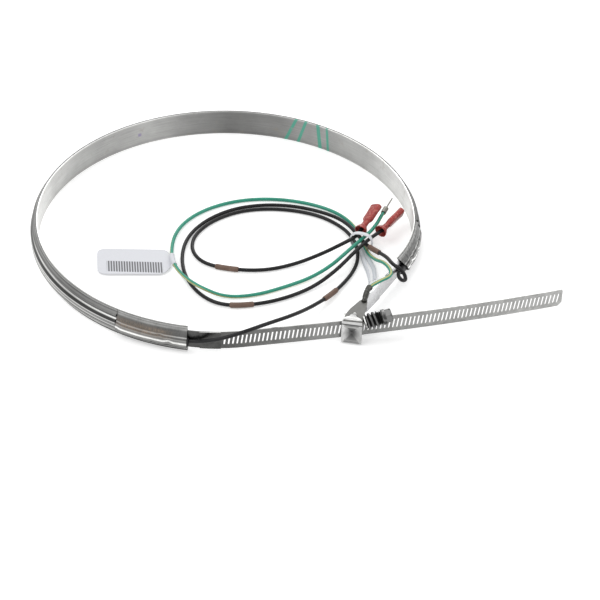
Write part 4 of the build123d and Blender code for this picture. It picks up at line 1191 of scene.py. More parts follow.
@dataclass
class FormedStrip:
    """Steel strip rolled to a section and bent round the ring."""

    name: str
    node: str
    section: list[tuple[float, float]]
    sheet: float
    first: float
    last: float
    finish: bpy.types.Material
    step: float = 1.0
    presses: tuple[Press, ...] = ()
    pinches: tuple[tuple[float, float], ...] = ()
    last_share: float = 0.0
    bend: Bend = Bend()

    def depth_share(self, degrees: float) -> float:
        """Share of the section's full depth at an angle, between the pinch places.

        Args:
            degrees: Angle round the ring.

        Returns:
            The share.
        """
        before = self.pinches[0] if self.pinches else (0.0, 1.0)
        for place in self.pinches:
            if degrees <= place[0]:
                if place[0] == before[0]:
                    return place[1]
                share = (degrees - before[0]) / (place[0] - before[0])
                share = min(1.0, max(0.0, share))
                share = share * share * (3 - 2 * share)
                return before[1] + (place[1] - before[1]) * share
            before = place
        return before[1]

    def inner_line(self) -> list[tuple[float, float]]:
        """Section's inner side, one sheet inside the outer one.

        Returns:
            The side's points.
        """
        result = []
        for place, (out, level) in enumerate(self.section):
            before = self.section[max(place - 1, 0)]
            after = self.section[min(place + 1, len(self.section) - 1)]
            way = Vector((after[0] - before[0], after[1] - before[1])).normalized()
            result.append((out - way.y * self.sheet, level + way.x * self.sheet))
        return result

    def build(self) -> bpy.types.Object:
        """Make the strip as one closed mesh.

        Returns:
            The new piece.
        """
        inner = self.inner_line()
        floor = min(out for out, _ in inner)
        loop = self.section + inner[::-1]
        rise = [out - floor for out, _ in self.section]
        rise += rise[::-1]
        final = self.last - self.last_share
        count = max(2, round(abs(final - self.first) / self.step))
        places = [self.first + (final - self.first) * number / count
                  for number in range(count + 1)]
        shape = bmesh.new()
        rings = []
        for degrees in places:
            share = self.depth_share(degrees)
            ring = []
            for (out, level), height in zip(loop, rise):
                lower = (1 - share) * max(0.0, height - self.sheet)
                lower += sum(press.at(degrees, level) for press in self.presses) * min(
                    1.0, max(0.0, height - self.sheet) / 1.5)
                level = min(self.bend.width, max(0.0, level))
                ring.append(shape.verts.new(self.bend.point(degrees, out - lower, level)))
            rings.append(ring)
        skin(shape, rings, closed=False)
        size = len(loop)
        for ring in (rings[0], rings[-1]):
            for number in range(size // 2 - 1):
                shape.faces.new((ring[number], ring[number + 1],
                                 ring[size - 2 - number], ring[size - 1 - number]))
        piece = piece_from(shape, self.name, self.finish)
        smoothed(piece, 38)
        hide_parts(self.node)
        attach(piece, BODY)
        log.info("%s: %d faces", self.name, len(piece.data.polygons))
        return piece


@dataclass
class WormScrew:
    """Worm screw: helical thread, ringed neck, collar and slotted hexagon head."""

    finish: bpy.types.Material
    start: Point = (92.4, -113.9, 17.1)
    axis: Point = (13.9, 3.3, 3.4)
    pitch: float = 2.68
    root: float = 3.8
    crest: float = 5.2
    thread: float = 8.0
    neck: float = 2.2
    collar: float = 2.4
    across_flats: float = 8.2
    head: float = 3.9
    slot: float = 1.2
    slot_depth: float = 1.4

    def thread_radius(self, along: float, turn: float) -> float:
        """Radius of the thread at a place along it and an angle round it.

        Args:
            along: Place along the screw's axis.
            turn: Angle round it.

        Returns:
            The radius.
        """
        phase = (along / self.pitch - turn / (2 * math.pi)) % 1.0
        flank = min(1.0, max(0.0, (0.5 - abs(phase - 0.5)) * 5.2 - 0.55))
        fade = min(1.0, along / 0.3, (self.thread - along) / 0.7)
        return self.root + (self.crest - self.root) * flank * max(0.0, fade)

    def radius(self, along: float, turn: float) -> float:
        """Radius of the turned part at a place along it and an angle round it.

        Args:
            along: Place along the screw's axis.
            turn: Angle round it.

        Returns:
            The radius.
        """
        if along <= self.thread:
            return self.thread_radius(along, turn)
        past = along - self.thread
        if past <= self.neck:
            return 3.9 + 0.6 * max(0.0, math.sin(past / self.neck * 4 * math.pi)) ** 0.5
        share = (past - self.neck) / self.collar
        return 5.0 - 0.35 * abs(2 * share - 1) ** 4 - 0.25 * (0.45 < share < 0.62)

    def build(self) -> bpy.types.Object:
        """Make the screw as one piece that rides on its own body.

        Returns:
            The piece.
        """
        sides = 64
        shape = bmesh.new()
        turned = self.thread + self.neck + self.collar
        places = [turned * number / 110 for number in range(111)]
        places += [self.thread + self.neck - 0.01, self.thread + self.neck + 0.01]
        rings = []
        for along in sorted(places):
            rings.append([self._vertex(shape, self.radius(along, turn), turn, along)
                          for turn in self._turns(sides)])
        rings.insert(0, [self._vertex(shape, 1.7, turn, 0.0) for turn in self._turns(sides)])
        rings.insert(0, [self._vertex(shape, 1.7, turn, 6.5) for turn in self._turns(sides)])
        skin(shape, rings)
        self._head(shape, turned)
        piece = piece_from(shape, "worm_screw_turned", self.finish)
        piece.data.transform(self.placement())
        smoothed(piece, 32)
        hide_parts("worm_screw")
        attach(piece, SCREW_BODY)
        log.info("worm screw: %d faces", len(piece.data.polygons))
        return piece

    def _turns(self, sides: int) -> list[float]:
        """Angles of a ring's corners."""
        return [2 * math.pi * number / sides for number in range(sides)]

    def _vertex(self, shape: bmesh.types.BMesh, radius: float, turn: float,
                along: float) -> bmesh.types.BMVert:
        """Corner of the turned part, in millimetres on its own axis."""
        return shape.verts.new((radius * math.cos(turn), radius * math.sin(turn), along))

    def _head(self, shape: bmesh.types.BMesh, base: float) -> None:
        """Add the hexagon head, chamfered and cut by the driver slot.

        Args:
            shape: The mesh that is being built.
            base: Where the head starts along the axis.
        """
        corner = self.across_flats / 2 / math.cos(math.pi / 6)
        for side in (-1, 1):
            outline = []
            for number in range(96):
                turn = 2 * math.pi * number / 96
                reach = (self.across_flats / 2
                         / math.cos((turn % (math.pi / 3)) - math.pi / 6))
                outline.append((reach * math.cos(turn), reach * math.sin(turn)))
            half = [(x, y) for x, y in outline if side * y > self.slot / 2]
            half.sort(key=lambda spot: -side * spot[0])
            edge = max(abs(x) for x, _ in half)
            half = [(-side * edge, side * self.slot / 2)] + half + [
                (side * edge, side * self.slot / 2)]
            rings = []
            for along, cut in ((base + self.head - self.slot_depth, 0.0),
                               (base + self.head - 1.1, 0.0), (base + self.head - 0.5, 0.5),
                               (base + self.head - 0.1, 1.2), (base + self.head, 2.0)):
                ring = []
                for x, y in half:
                    limit = corner - cut * 0.9
                    size = math.hypot(x, y)
                    share = min(1.0, limit / size)
                    ring.append(shape.verts.new((x * share, y * share, along)))
                rings.append(ring)
            skin(shape, rings)
        rings = []
        for along in (base, base + self.head - self.slot_depth + 0.01):
            rings.append([shape.verts.new((
                corner * math.cos(math.pi / 3 * number), corner * math.sin(
                    math.pi / 3 * number), along)) for number in range(6)])
        skin(shape, rings)

    def placement(self) -> Matrix:
        """Move from the screw's own axis, in millimetres, to its place in the heater.

        Returns:
            The matrix.
        """
        along = Vector(self.axis).normalized()
        turn = Vector((0, 0, 1)).rotation_difference(along).to_matrix().to_4x4()
        return Matrix.Translation(Vector(self.start) * MM) @ turn @ Matrix.Scale(MM, 4)


@dataclass
class SoftenedPart:
    """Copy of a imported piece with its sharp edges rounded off."""

    node: str
    width: float
    finish: bpy.types.Material
    height: float = 1.0

    def build(self) -> bpy.types.Object:
        """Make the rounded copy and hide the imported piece.

        Returns:
            The piece.
        """
        packed = bpy.data.objects[self.node]
        mesh = packed.data.copy()
        mesh.name = f"{self.node}_softened"
        mesh.transform(packed.matrix_world)
        foot = min(vertex.co.z for vertex in mesh.vertices)
        for vertex in mesh.vertices:
            vertex.co.z = foot + (vertex.co.z - foot) * self.height
        shape = bmesh.new()
        shape.from_mesh(mesh)
        bmesh.ops.remove_doubles(shape, verts=shape.verts[:], dist=1e-6)
        bmesh.ops.dissolve_limit(shape, angle_limit=math.radians(1.0), verts=shape.verts[:],
                                 edges=shape.edges[:])
        shape.to_mesh(mesh)
        shape.free()
        mesh.materials.clear()
        mesh.materials.append(self.finish)
        piece = bpy.data.objects.new(f"{self.node}_softened", mesh)
        bpy.context.collection.objects.link(piece)
        modify(piece, "BEVEL", width=self.width * MM, segments=2, limit_method="ANGLE",
               angle_limit=math.radians(35))
        smoothed(piece, 40)
        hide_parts(self.node)
        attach(piece, BODY)
        return piece


@dataclass
class Boot:
    """Vinyl boot: flared mouth, narrow neck and a flat body round the terminal."""

    node: str
    terminal: str
    mouth: Point
    axis: Point
    roll: float
    vinyl: bpy.types.Material
    metal: bpy.types.Material
    wall: float = 0.45
    stations: tuple[tuple[float, float, float], ...] = (
        (0.0, 4.3, 4.3), (0.8, 4.15, 4.15), (2.0, 3.7, 3.7), (3.6, 2.7, 2.7), (5.2, 2.1, 2.1),
        (7.2, 2.0, 2.0), (8.8, 2.4, 2.0), (10.2, 3.5, 2.1), (11.4, 3.95, 2.15),
        (15.0, 3.9, 2.15), (19.0, 4.0, 2.15), (23.7, 4.3, 2.3), (24.1, 4.25, 2.2),
        (24.3, 4.0, 1.9),
    )

    def ring(self, along: float, half: float, thick: float, sides: int = 28) -> list[Vector]:
        """Ring of the boot, rounder where it is as thick as wide.

        Args:
            along: Distance from the mouth, in millimetres.
            half: Half its width.
            thick: Half its thickness.
            sides: Number of corners.

        Returns:
            The ring's points in metres.
        """
        ahead = Vector(self.axis).normalized()
        level = Vector((ahead.y, -ahead.x, 0.0)).normalized()
        rise = level.cross(ahead)
        turn = math.radians(self.roll)
        side = level * math.cos(turn) + rise * math.sin(turn)
        up = ahead.cross(side)
        power = 1.0 if half - thick < 0.4 else 0.62
        points = []
        for number in range(sides):
            angle = 2 * math.pi * number / sides
            x, y = math.cos(angle), math.sin(angle)
            x = math.copysign(abs(x) ** power, x) * half
            y = math.copysign(abs(y) ** power, y) * thick
            points.append((Vector(self.mouth) + ahead * along + side * x + up * y) * MM)
        return points

    def build(self) -> list[bpy.types.Object]:
        """Make the boot with its open mouth, and the terminal inside it.

        Returns:
            The pieces.
        """
        outer = [self.ring(*station) for station in self.stations]
        inner = [self.ring(along, half - self.wall, thick - self.wall)
                 for along, half, thick in self.stations[:6]]
        boot = loft(f"{self.node}_skin", inner[::-1] + outer, self.vinyl)
        blade = loft(f"{self.terminal}_blade", [
            self.ring(6.0, 1.2, 1.1), self.ring(9.5, 1.3, 1.1), self.ring(11.5, 3.2, 0.8),
            self.ring(20.0, 2.9, 0.8), self.ring(23.1, 2.0, 0.6)], self.metal)
        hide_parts(self.node)
        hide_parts(self.terminal)
        for piece in (boot, blade):
            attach(piece, BODY)
        return [boot, blade]


@dataclass
class TwistTie:
    """White tie: a ribbon wrapped over the bundle, with two loose flat tails."""

    finish: bpy.types.Material
    centre: Point = (90.4, -13.6, 7.15)
    yaw: float = -15.0
    half_width: float = 7.0
    half_height: float = 5.9
    breadth: float = 3.2
    sheet: float = 0.5
    tails: tuple[tuple[Point, ...], ...] = (
        ((90.2, -13.6, 1.3), (90.9, -21.0, 2.2), (92.4, -31.0, 2.1), (95.2, -42.0, 2.1),
         (96.0, -53.0, 2.2)),
        ((91.2, -13.6, 1.3), (92.9, -20.0, 2.0), (96.0, -29.0, 2.0), (99.6, -40.0, 2.0),
         (99.0, -50.0, 2.1)),
    )

    def ribbon(self, point: Vector, across: Vector, out: Vector) -> list[Vector]:
        """Flat section of the ribbon with a soft edge.

        Args:
            point: Middle of the section.
            across: Direction of the ribbon's width.
            out: Direction of its thickness.

        Returns:
            The section's points.
        """
        half, thick = self.breadth / 2 * MM, self.sheet * MM
        spots = ((-1.0, 0.3), (-0.8, 1.2), (0.0, 2.0), (0.8, 1.2), (1.0, 0.3), (0.8, 0.0),
                 (0.0, 0.2), (-0.8, 0.0))
        return [point + across * (x * half) + out * (y * thick) for x, y in spots]

    def build(self) -> bpy.types.Object:
        """Make the tie as one piece.

        Returns:
            The piece.
        """
        turn = math.radians(self.yaw)
        level = Vector((math.cos(turn), math.sin(turn), 0.0))
        across = Vector((-math.sin(turn), math.cos(turn), 0.0))
        rings = []
        for number in range(73):
            angle = -math.pi / 2 + 2 * math.pi * number / 72
            x, y = math.cos(angle), math.sin(angle)
            out = (level * x + Vector((0, 0, y))).normalized()
            x = math.copysign(abs(x) ** 0.8, x) * self.half_width
            y = math.copysign(abs(y) ** 0.8, y) * (self.half_height - 0.2)
            point = (Vector(self.centre) + level * x + Vector((0, 0, y))) * MM
            shift = across * (0.5 * MM * math.sin(angle * 0.5))
            rings.append(self.ribbon(point + shift, across, out))
        pieces = [loft("tie_loop", rings, self.finish)]
        for number, points in enumerate(self.tails):
            line = smooth_line("tie_tail", points)
            rings = []
            for place, point in enumerate(line):
                before, after = line[max(place - 1, 0)], line[min(place + 1, len(line) - 1)]
                ahead = (after - before).normalized()
                side = ahead.cross(Vector((0, 0, 1))).normalized()
                twist = (place / len(line)) * (1.3 - number * 0.6)
                side = Matrix.Rotation(twist, 3, ahead) @ side
                rings.append(self.ribbon(point, side, side.cross(ahead)))
            pieces.append(loft("tie_tail_ribbon", rings, self.finish))
        tie = joined("twist_tie", *pieces)
        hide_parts("cable_tie")
        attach(tie, BODY)
        return tie


@dataclass
class PaperTag:
    """Paper tag: a folded label with round corners and a sleeve round the wire."""

    line: list[Vector]
    finish: bpy.types.Material
    level: float = 1.3
    sheet: float = 0.4
    wrap: float = 13.5
    radius: float = 1.7

    def outline(self) -> list[tuple[float, float]]:
        """Outline of the label from its wrap, in millimetres from the wire.

        Returns:
            The outline's points.
        """
        left = [(-5.0, -13.5), (-48.0, -15.5), (-51.0, 12.5), (-5.0, 13.5)]
        soft = [(-1.0, -6.0)]
        for before, corner, after in zip([(-1.0, -6.0)] + left[:-1], left,
                                         left[1:] + [(-1.0, 6.0)]):
            first = Vector(before) - Vector(corner)
            second = Vector(after) - Vector(corner)
            reach = min(6.0, first.length * 0.45, second.length * 0.45)
            start = Vector(corner) + first.normalized() * reach
            end = Vector(corner) + second.normalized() * reach
            for share in (0.0, 0.25, 0.5, 0.75, 1.0):
                spot = (start * (1 - share) ** 2 + Vector(corner) * 2 * share * (1 - share)
                        + end * share ** 2)
                soft.append(tuple(spot))
        return soft + [(-1.0, 6.0)]

    def build(self) -> bpy.types.Object:
        """Make the tag as one piece.

        Returns:
            The piece.
        """
        rings = []
        for rise in (0.0, self.sheet):
            rings.append([Vector((TAG_MIDDLE[0] + x, TAG_MIDDLE[1] + y,
                                  self.level + rise)) * MM for x, y in self.outline()])
        label = loft("tag_label", rings, self.finish)
        middle = Vector((*TAG_MIDDLE, 3.2)) * MM
        along = nearest(self.line, middle)
        part = stretch(self.line, along - self.wrap / 2 * MM, self.wrap * MM)
        sleeve = Tube("tag_sleeve", part, self.radius * MM, self.finish).build()
        tag = joined("paper_tag", label, sleeve)
        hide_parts("tag")
        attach(tag, BODY)
        return tag


@dataclass
class ClampFace:
    """Pressed front of the clamp housing, with its lip folded over the lug."""

    finish: bpy.types.Material
    half_width: float = 6.4
    low: float = 1.0
    top: float = 15.8
    dent: float = 1.8
    dent_level: float = 8.2
    lip: tuple[tuple[float, float, float], ...] = (
        (0.05, 16.2, 6.4), (0.3, 17.2, 6.4), (0.9, 18.2, 6.35), (1.7, 18.8, 6.1),
        (2.5, 18.95, 5.4), (3.2, 19.0, 4.2), (3.8, 19.2, 2.9), (4.4, 19.6, 2.0),
        (5.1, 19.9, 1.7), (5.9, 19.7, 1.4), (6.5, 19.0, 1.0), (6.9, 17.9, 0.7),
    )
    sheet: float = 0.25
    columns: int = 40
    rows: int = 40

    def depth(self, u: float, w: float) -> float:
        """Depth of the four-sided dent at a place on the front.

        Args:
            u: Place across the front.
            w: Place up the front.

        Returns:
            The depth.
        """
        side = abs(u) / (self.half_width - 0.5)
        rise = abs(w - self.dent_level) / (self.top - self.dent_level - 0.1)
        bow = 1.0 - 0.35 * (1.0 - rise) * rise * 4 * (side < rise)
        return self.dent * max(0.0, 1.0 - max(side, rise)) ** 0.85 * bow

    def build(self) -> bpy.types.Object:
        """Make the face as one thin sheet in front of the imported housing.

        Returns:
            The piece.
        """
        grid = []
        for row in range(self.rows + 1):
            w = self.low + (self.top - self.low) * row / self.rows
            line = []
            for column in range(self.columns + 1):
                u = self.half_width * (2 * column / self.columns - 1)
                curl = 0.25 * max(0.0, abs(u) - self.half_width + 0.5)
                line.append(in_clamp(u, -0.30 + self.depth(u, w) + curl, w))
            grid.append(line)
        for v, w, half in self.lip:
            line = []
            for column in range(self.columns + 1):
                share = 2 * column / self.columns - 1
                line.append(in_clamp(half * share, v - 0.30, w - 0.25 * share * share))
            grid.append(line)
        shape = bmesh.new()
        made = [[shape.verts.new(point) for point in line] for line in grid]
        for first, second in zip(made, made[1:]):
            for number in range(self.columns):
                shape.faces.new((first[number], first[number + 1], second[number + 1],
                                 second[number]))
        layer = shape.loops.layers.uv.new("Face")
        spots = {}
        for row, line in enumerate(made):
            for column, vertex in enumerate(line):
                spots[vertex] = (column / self.columns, row / (2.0 * self.rows))
        for face in shape.faces:
            for loop in face.loops:
                loop[layer].uv = spots[loop.vert]
        piece = piece_from(shape, "clamp_face", self.finish)
        modify(piece, "SOLIDIFY", thickness=self.sheet * MM, offset=0.0)
        smoothed(piece, 30)
        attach(piece, BODY)
        return piece


@dataclass
class LugPlate:
    """Tapered plate of the ground lug, with the hole that the housing's lip enters."""

    finish: bpy.types.Material
    outline: tuple[tuple[float, float], ...] = (
        (77.9, -114.2), (79.4, -107.9), (82.3, -102.1), (88.4, -93.4), (90.0, -92.6),
        (92.4, -93.4), (93.2, -95.0), (91.8, -104.5), (89.9, -115.6))
    hole: tuple[float, float, float] = (84.35, -110.1, 2.5)
    top: float = 18.15
    sheet: float = 0.6

    def build(self) -> bpy.types.Object:
        """Make the plate as one piece.

        Returns:
            The piece.
        """
        shape = bmesh.new()
        middle_x, middle_y, radius = self.hole
        edges = []
        for loop in (self.outline, [(middle_x + radius * math.cos(number * math.pi / 16),
                                     middle_y + radius * 0.8 * math.sin(number * math.pi / 16))
                                    for number in range(32)]):
            corners = [shape.verts.new((x * MM, y * MM, self.top * MM)) for x, y in loop]
            edges += [shape.edges.new((corners[number - 1], corners[number]))
                      for number in range(len(corners))]
        bmesh.ops.triangle_fill(shape, use_beauty=True, use_dissolve=False, edges=edges)
        piece = piece_from(shape, "lug_plate", self.finish)
        modify(piece, "SOLIDIFY", thickness=self.sheet * MM, offset=0.0)
        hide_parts("ground_lug")
        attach(piece, BODY)
        return piece


@dataclass
class CrimpBarrel:
    """Dark crimp that holds the ground wire in the lug."""

    line: list[Vector]
    finish: bpy.types.Material
    start: Point = (90.9, -95.4, 18.5)
    radius: float = 1.9

    def build(self) -> bpy.types.Object:
        """Make the crimp, squeezed twice between the lug and the wire.

        Returns:
            The piece.
        """
        first = Vector(self.start) * MM
        held = stretch(self.line, 0.0005, 0.0040)
        points = [first.lerp(held[0], share / 10) for share in range(10)] + held
        swell = []
        for number in range(len(points)):
            share = number / (len(points) - 1)
            swell.append(1.0 - 0.20 * max(0.0, math.sin(share * 4 * math.pi - 0.8)) ** 2
                         + 0.12 * (share > 0.9))
        swell[0] = 0.5
        piece = Tube("lug_crimp", points, self.radius * MM, self.finish, swell).build()
        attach(piece, BODY)
        return piece


@dataclass
class Studio:
    """Plain white table, soft light and the photograph's camera."""

    eye: Point = (0.050828, -1.092501, 0.780597)
    forward: Point = (0.0, 0.79468, -0.60703)
    up: Point = (-0.02850, 0.60678, 0.79436)
    lens: float = 120.0
    world_light: float = 0.62
    table_glow: float = 0.42

    def build(self) -> None:
        """Set the view, the camera, the lamps, the world and the floor."""
        scene = bpy.context.scene
        scene.view_settings.view_transform = "Standard"
        self._camera(scene)
        self._world(scene)
        self._lamps()
        self._floor()

    def _camera(self, scene: bpy.types.Scene) -> None:
        """Place the camera where the photograph was taken from.

        Args:
            scene: The scene.
        """
        data = bpy.data.cameras.new("photo_camera")
        data.lens = self.lens
        data.sensor_width = 36.0
        data.clip_end = 20.0
        camera = bpy.data.objects.new("photo_camera", data)
        bpy.context.collection.objects.link(camera)
        ahead = Vector(self.forward).normalized()
        above = Vector(self.up)
        above = (above - ahead * above.dot(ahead)).normalized()
        right = ahead.cross(above)
        turn = Matrix((right, above, -ahead)).transposed().to_4x4()
        camera.matrix_world = Matrix.Translation(self.eye) @ turn
        scene.camera = camera

    def _world(self, scene: bpy.types.Scene) -> None:
        """White for the camera and reflections, softer for the light on the object.

        Args:
            scene: The scene.
        """
        world = bpy.data.worlds.new("studio")
        tree = Tree(world)
        soft, white = (tree.node("ShaderNodeBackground", {}, {0: (1, 1, 1, 1), 1: strength})
                       for strength in (self.world_light, 1.0))
        mix = tree.node("ShaderNodeMixShader", {}, {
            0: tree.seen(), 1: soft.outputs[0], 2: white.outputs[0]})
        tree.node("ShaderNodeOutputWorld", {}, {0: mix.outputs[0]})
        scene.world = world

    def _lamps(self) -> None:
        """Large soft lamps above left and above right."""
        for name, place, power, size in (
            ("key", (-0.9, -0.5, 1.5), 9.0, 1.0),
            ("fill", (1.2, -0.2, 1.1), 4.0, 0.9),
            ("back", (0.1, 1.3, 1.0), 5.0, 0.9),
        ):
            data = bpy.data.lights.new(name, "AREA")
            data.energy = power
            data.size = size
            lamp = bpy.data.objects.new(name, data)
            bpy.context.collection.objects.link(lamp)
            lamp.location = place
            lamp.rotation_euler = (Vector((0.03, 0, 0)) - Vector(place)).to_track_quat(
                "-Z", "Y").to_euler()

    def _floor(self) -> None:
        """White table that keeps a faint shadow of the heater."""
        deselect()
        bpy.ops.mesh.primitive_plane_add(size=12.0, location=(0, 0, -0.0002))
        floor = bpy.context.active_object
        floor.name = "table"
        graph = Graph("white_table")
        glow = graph.node("ShaderNodeEmission", {}, {
            "Color": (1, 1, 1, 1), "Strength": self.table_glow})
        none = graph.node("ShaderNodeEmission", {}, {"Color": (0, 0, 0, 1), "Strength": 0.0})
        pick = graph.node("ShaderNodeMixShader", {}, {
            0: graph.seen(), 1: none.outputs[0], 2: glow.outputs[0]})
        add = graph.node("ShaderNodeAddShader", {}, {
            0: graph.shader.outputs[0], 1: pick.outputs[0]})
        graph.tree.links.new(add.outputs[0], graph.output.inputs["Surface"])
        graph.finish(Base_Color=(0.86, 0.86, 0.86, 1), Roughness=0.9)
        floor.data.materials.append(graph.material)


def dress(node: str, material: bpy.types.Material) -> None:
    """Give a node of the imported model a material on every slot.

    Args:
        node: The node's name.
        material: The material.
    """
    piece = bpy.data.objects[node]
    if not piece.material_slots:
        piece.data.materials.append(material)
    for slot in piece.material_slots:
        slot.material = material


class Heater:
    """The whole heater: steel ring, clamp, inner cord and bundled leads."""

    def __init__(self) -> None:
        """Make the finishes that the pieces share."""
        # Painted light and shade on the band: by angle round the ring, with painted highlights at
        # its rims.
        self.band = RolledSteel("band_steel", along=BAND_PAINTED_LIGHT_ROUND, marks=True,
                                roughness=0.45, streaks=0.35,
                                across=((0.0, 175), (1.0, 140), (3.0, 150), (9.0, 152),
                                        (15.0, 148), (17.2, 150), (18.2, 185))).build()
        # Painted highlights and shade across the channel and the covers; the channel painted
        # brighter over part of the back arc.
        self.channel = RolledSteel("channel_steel", across=CHANNEL_PAINTED_LIGHT,
                                   along=((0.0, 150), (130.0, 150), (165.0, 184), (205.0, 184),
                                          (228.0, 158), (360.0, 150))).build()
        self.cover = RolledSteel("cover_steel", across=COVER_PAINTED_LIGHT, heat_tint_and_crush_shade=True).build()
        # Painted light and shade on the bent pieces by how far each face looks up; on the strap
        # also along X.
        self.strap = BentSteel(
            "strap_steel", facing=((-1.0, 90), (-0.3, 140), (0.0, 150), (0.5, 190), (1.0, 200)),
            along=((-20.0, 82), (10.0, 96), (60.0, 128), (110.0, 138), (140.0, 148),
                   (215.0, 166)), contrast=0.9).build()
        self.doubler = BentSteel(
            "doubler_steel", facing=((-1.0, 60), (0.0, 84), (1.0, 170)), scale=200.0,
            contrast=1.3).build()
        self.anchor = BentSteel(
            "anchor_steel", facing=((-1.0, 110), (0.0, 205), (1.0, 225)),
            tint=(0.985, 0.985, 1.02), roughness=0.30).build()
        self.housing = BentSteel(
            "housing_steel",
            facing=((-1.0, 90), (-0.40, 75), (-0.22, 118), (-0.05, 172), (0.05, 172),
                    (0.22, 122), (0.40, 150), (0.60, 236), (1.0, 215)),
            contrast=0.7).build()
        # Painted light and shade on the pressed face and on the screw.
        self.face = DentedSteel("pressed_face").build()
        self.screw = ScrewSteel("screw_steel").build()
        self.crimp = PlainMetal("crimp_steel", (0.11, 0.11, 0.10), (0.010, 0.010, 0.010),
                                scale=700.0).build()
        self.zinc = BentSteel(
            "lug_zinc", facing=((-1.0, 90), (0.0, 90), (0.7, 106), (1.0, 110)),
            tint=(1.0, 0.995, 0.97), roughness=0.5, scale=420.0).build()
        self.tin = PlainMetal("tinned_brass", (0.30, 0.29, 0.26), (0.12, 0.115, 0.10)).build()
        self.silicone = Rubber("black_silicone", (0.014, 0.014, 0.016),
                               (0.05, 0.05, 0.055)).build()
        self.lead = Rubber("lead_insulation", (0.010, 0.010, 0.011), (0.026, 0.026, 0.028),
                           roughness=0.34).build()
        self.sleeve = Rubber("brown_sleeve", (0.165, 0.105, 0.080), (0.28, 0.20, 0.165),
                             roughness=0.5, scale=700.0).build()
        self.green = StripedInsulation("green_yellow").build()
        self.vinyl = Vinyl("red_vinyl").build()
        self.white = Paper("white_tie", (0.80, 0.82, 0.86)).build()
        self.paper = Paper("tag_paper", bars=True).build()

    def build_ring(self) -> None:
        """Bend the ring's strips and shells."""
        FormedStrip("inner_band_strip", "inner_band",
                    [(0.6, level * WIDTH / 8) for level in range(9)], 0.6, 261.8, 0.0,
                    self.band, last_share=26.5).build()
        channel = HEM_LOW + rounded(CHANNEL_SECTION, 2) + HEM_HIGH
        FormedStrip("channel_strip", "outer_channel", channel, 0.5, 0.14, 240.36,
                    self.channel).build()
        cover = HEM_LOW + rounded(COVER_SECTION, 2) + HEM_HIGH
        FormedStrip("left_cover_shell", "left_end_cover", cover, 0.5, 240.5, 261.8, self.cover,
                    step=0.35,
                    presses=(Press(256.6, 7.0, 1.3, 0.9, 2.4), Press(254.2, 10.5, 0.7, 0.8, 1.8),
                             Press(251.5, 6.0, 0.5, 1.2, 1.5)),
                    pinches=((240.5, 0.82), (242.6, 1.0), (255.3, 1.0), (257.6, 0.96),
                             (261.8, 0.99))).build()
        FormedStrip("right_cover_shell", "right_end_cover", cover, 0.5, -0.1, -26.5, self.cover,
                    step=0.35,
                    presses=(Press(-21.0, 9.0, 1.2, 1.0, 2.6), Press(-17.5, 12.0, 0.6, 1.0, 1.8),
                             Press(-13.0, 7.0, 0.5, 0.7, 3.0), Press(-9.0, 11.0, 0.4, 0.6, 2.4),
                             Press(-23.6, 5.5, 0.9, 0.8, 1.8)),
                    pinches=((-26.5, 0.99), (-22.5, 0.95), (-19.5, 1.0), (-2.6, 1.0),
                             (-0.1, 0.82))).build()
        log.info("ring bent")

    def build_clamp(self) -> None:
        """Round the edges of the clamp's bent pieces and turn the screw."""
        for node, width, finish in (
            ("clamp_housing", 0.22, self.housing),
            ("anchor_strap", 0.12, self.anchor), ("anchor_doubler", 0.10, self.anchor),
        ):
            SoftenedPart(node, width, finish).build()
        WormScrew(self.screw).build()
        ClampFace(self.face).build()
        LugPlate(self.zinc).build()
        log.info("clamp finished")

    def build_steel(self) -> None:
        """Dress the pieces that stay as packed."""
        for side in ("left", "right"):
            SoftenedPart(f"{side}_plug", 0.4, self.silicone, height=0.76).build()
        for node, material in (
            ("slotted_strap", self.strap), ("strap_doubler", self.doubler),
            ("ground_terminal", self.tin),
            ("heating_core", self.tin), ("left_splice", self.tin), ("right_splice", self.tin),
            ("heating_sheath", self.silicone),
        ):
            dress(node, material)
        log.info("packed pieces dressed")

    def build_leads(self) -> None:
        """Lay the three leads and the sleeves on them."""
        left, left_line = Lead(Side.LEFT, LEFT_ROUTE, 2.5 * MM, self.lead).build()
        right, right_line = Lead(Side.RIGHT, RIGHT_ROUTE, 2.5 * MM, self.lead).build()
        ground, ground_line = Lead(Side.GROUND, GROUND_ROUTE, 2.4 * MM, self.green).build()
        sleeves = {}
        for node, line, start, length in (
            ("left_front_sleeve", left_line, 0.114, 0.0155),
            ("left_bundle_sleeve", left_line, 0.3645, 0.0155),
            ("right_front_sleeve", right_line, 0.058, 0.0155),
            ("right_bundle_sleeve", right_line, 0.327, 0.0155),
        ):
            sleeves[node] = Sleeve(f"{node}_skin", node, line, start, length,
                                   self.sleeve).build()
        left_boot = Boot("left_boot", "left_receptacle", (89.9, -6.0, 10.2),
                         (9.7, 19.6, 5.0), 30.0, self.vinyl, self.tin).build()
        right_boot = Boot("right_boot", "right_receptacle", (103.1, -5.6, 9.6),
                          (13.9, 19.6, 2.6), 70.0, self.vinyl, self.tin).build()
        tie = TwistTie(self.white).build()
        tag = PaperTag(ground_line, self.paper).build()
        CrimpBarrel(ground_line, self.crimp).build()
        for cord, node, line, diameter, with_pieces in (
            (left, "left_lead", left_line, 0.0025,
             [sleeves["left_front_sleeve"], sleeves["left_bundle_sleeve"], *left_boot]),
            (right, "right_lead", right_line, 0.0025,
             [sleeves["right_front_sleeve"], sleeves["right_bundle_sleeve"], *right_boot]),
            (ground, "ground_wire", ground_line, 0.0024,
             [bpy.data.objects["ground_terminal"], tag, tie]),
        ):
            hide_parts(node)
            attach(cord, BODY)
            length = sum((b - a).length for a, b in zip(line, line[1:]))
        log.info("leads laid")


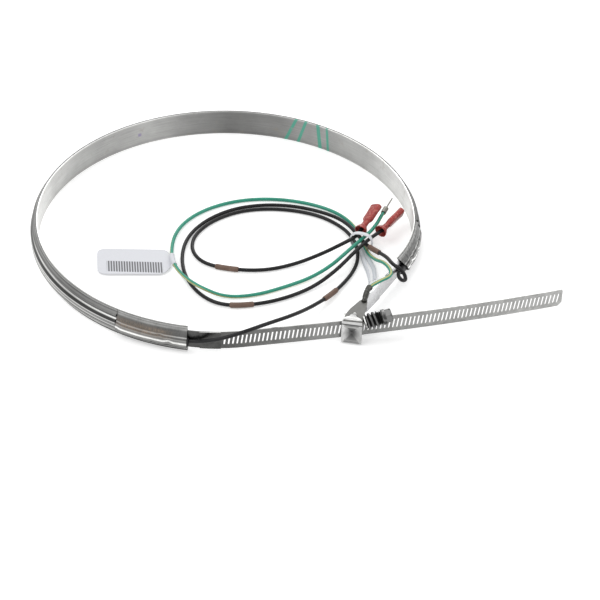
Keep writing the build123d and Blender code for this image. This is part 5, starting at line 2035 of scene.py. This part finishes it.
def main() -> None:
    """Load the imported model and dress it."""
    logging.basicConfig(level=logging.INFO)
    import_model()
    Studio().build()
    heater = Heater()
    heater.build_ring()
    heater.build_clamp()
    heater.build_steel()
    heater.build_leads()
    log.info("sizes written")


if __name__ == "__main__":
    main()
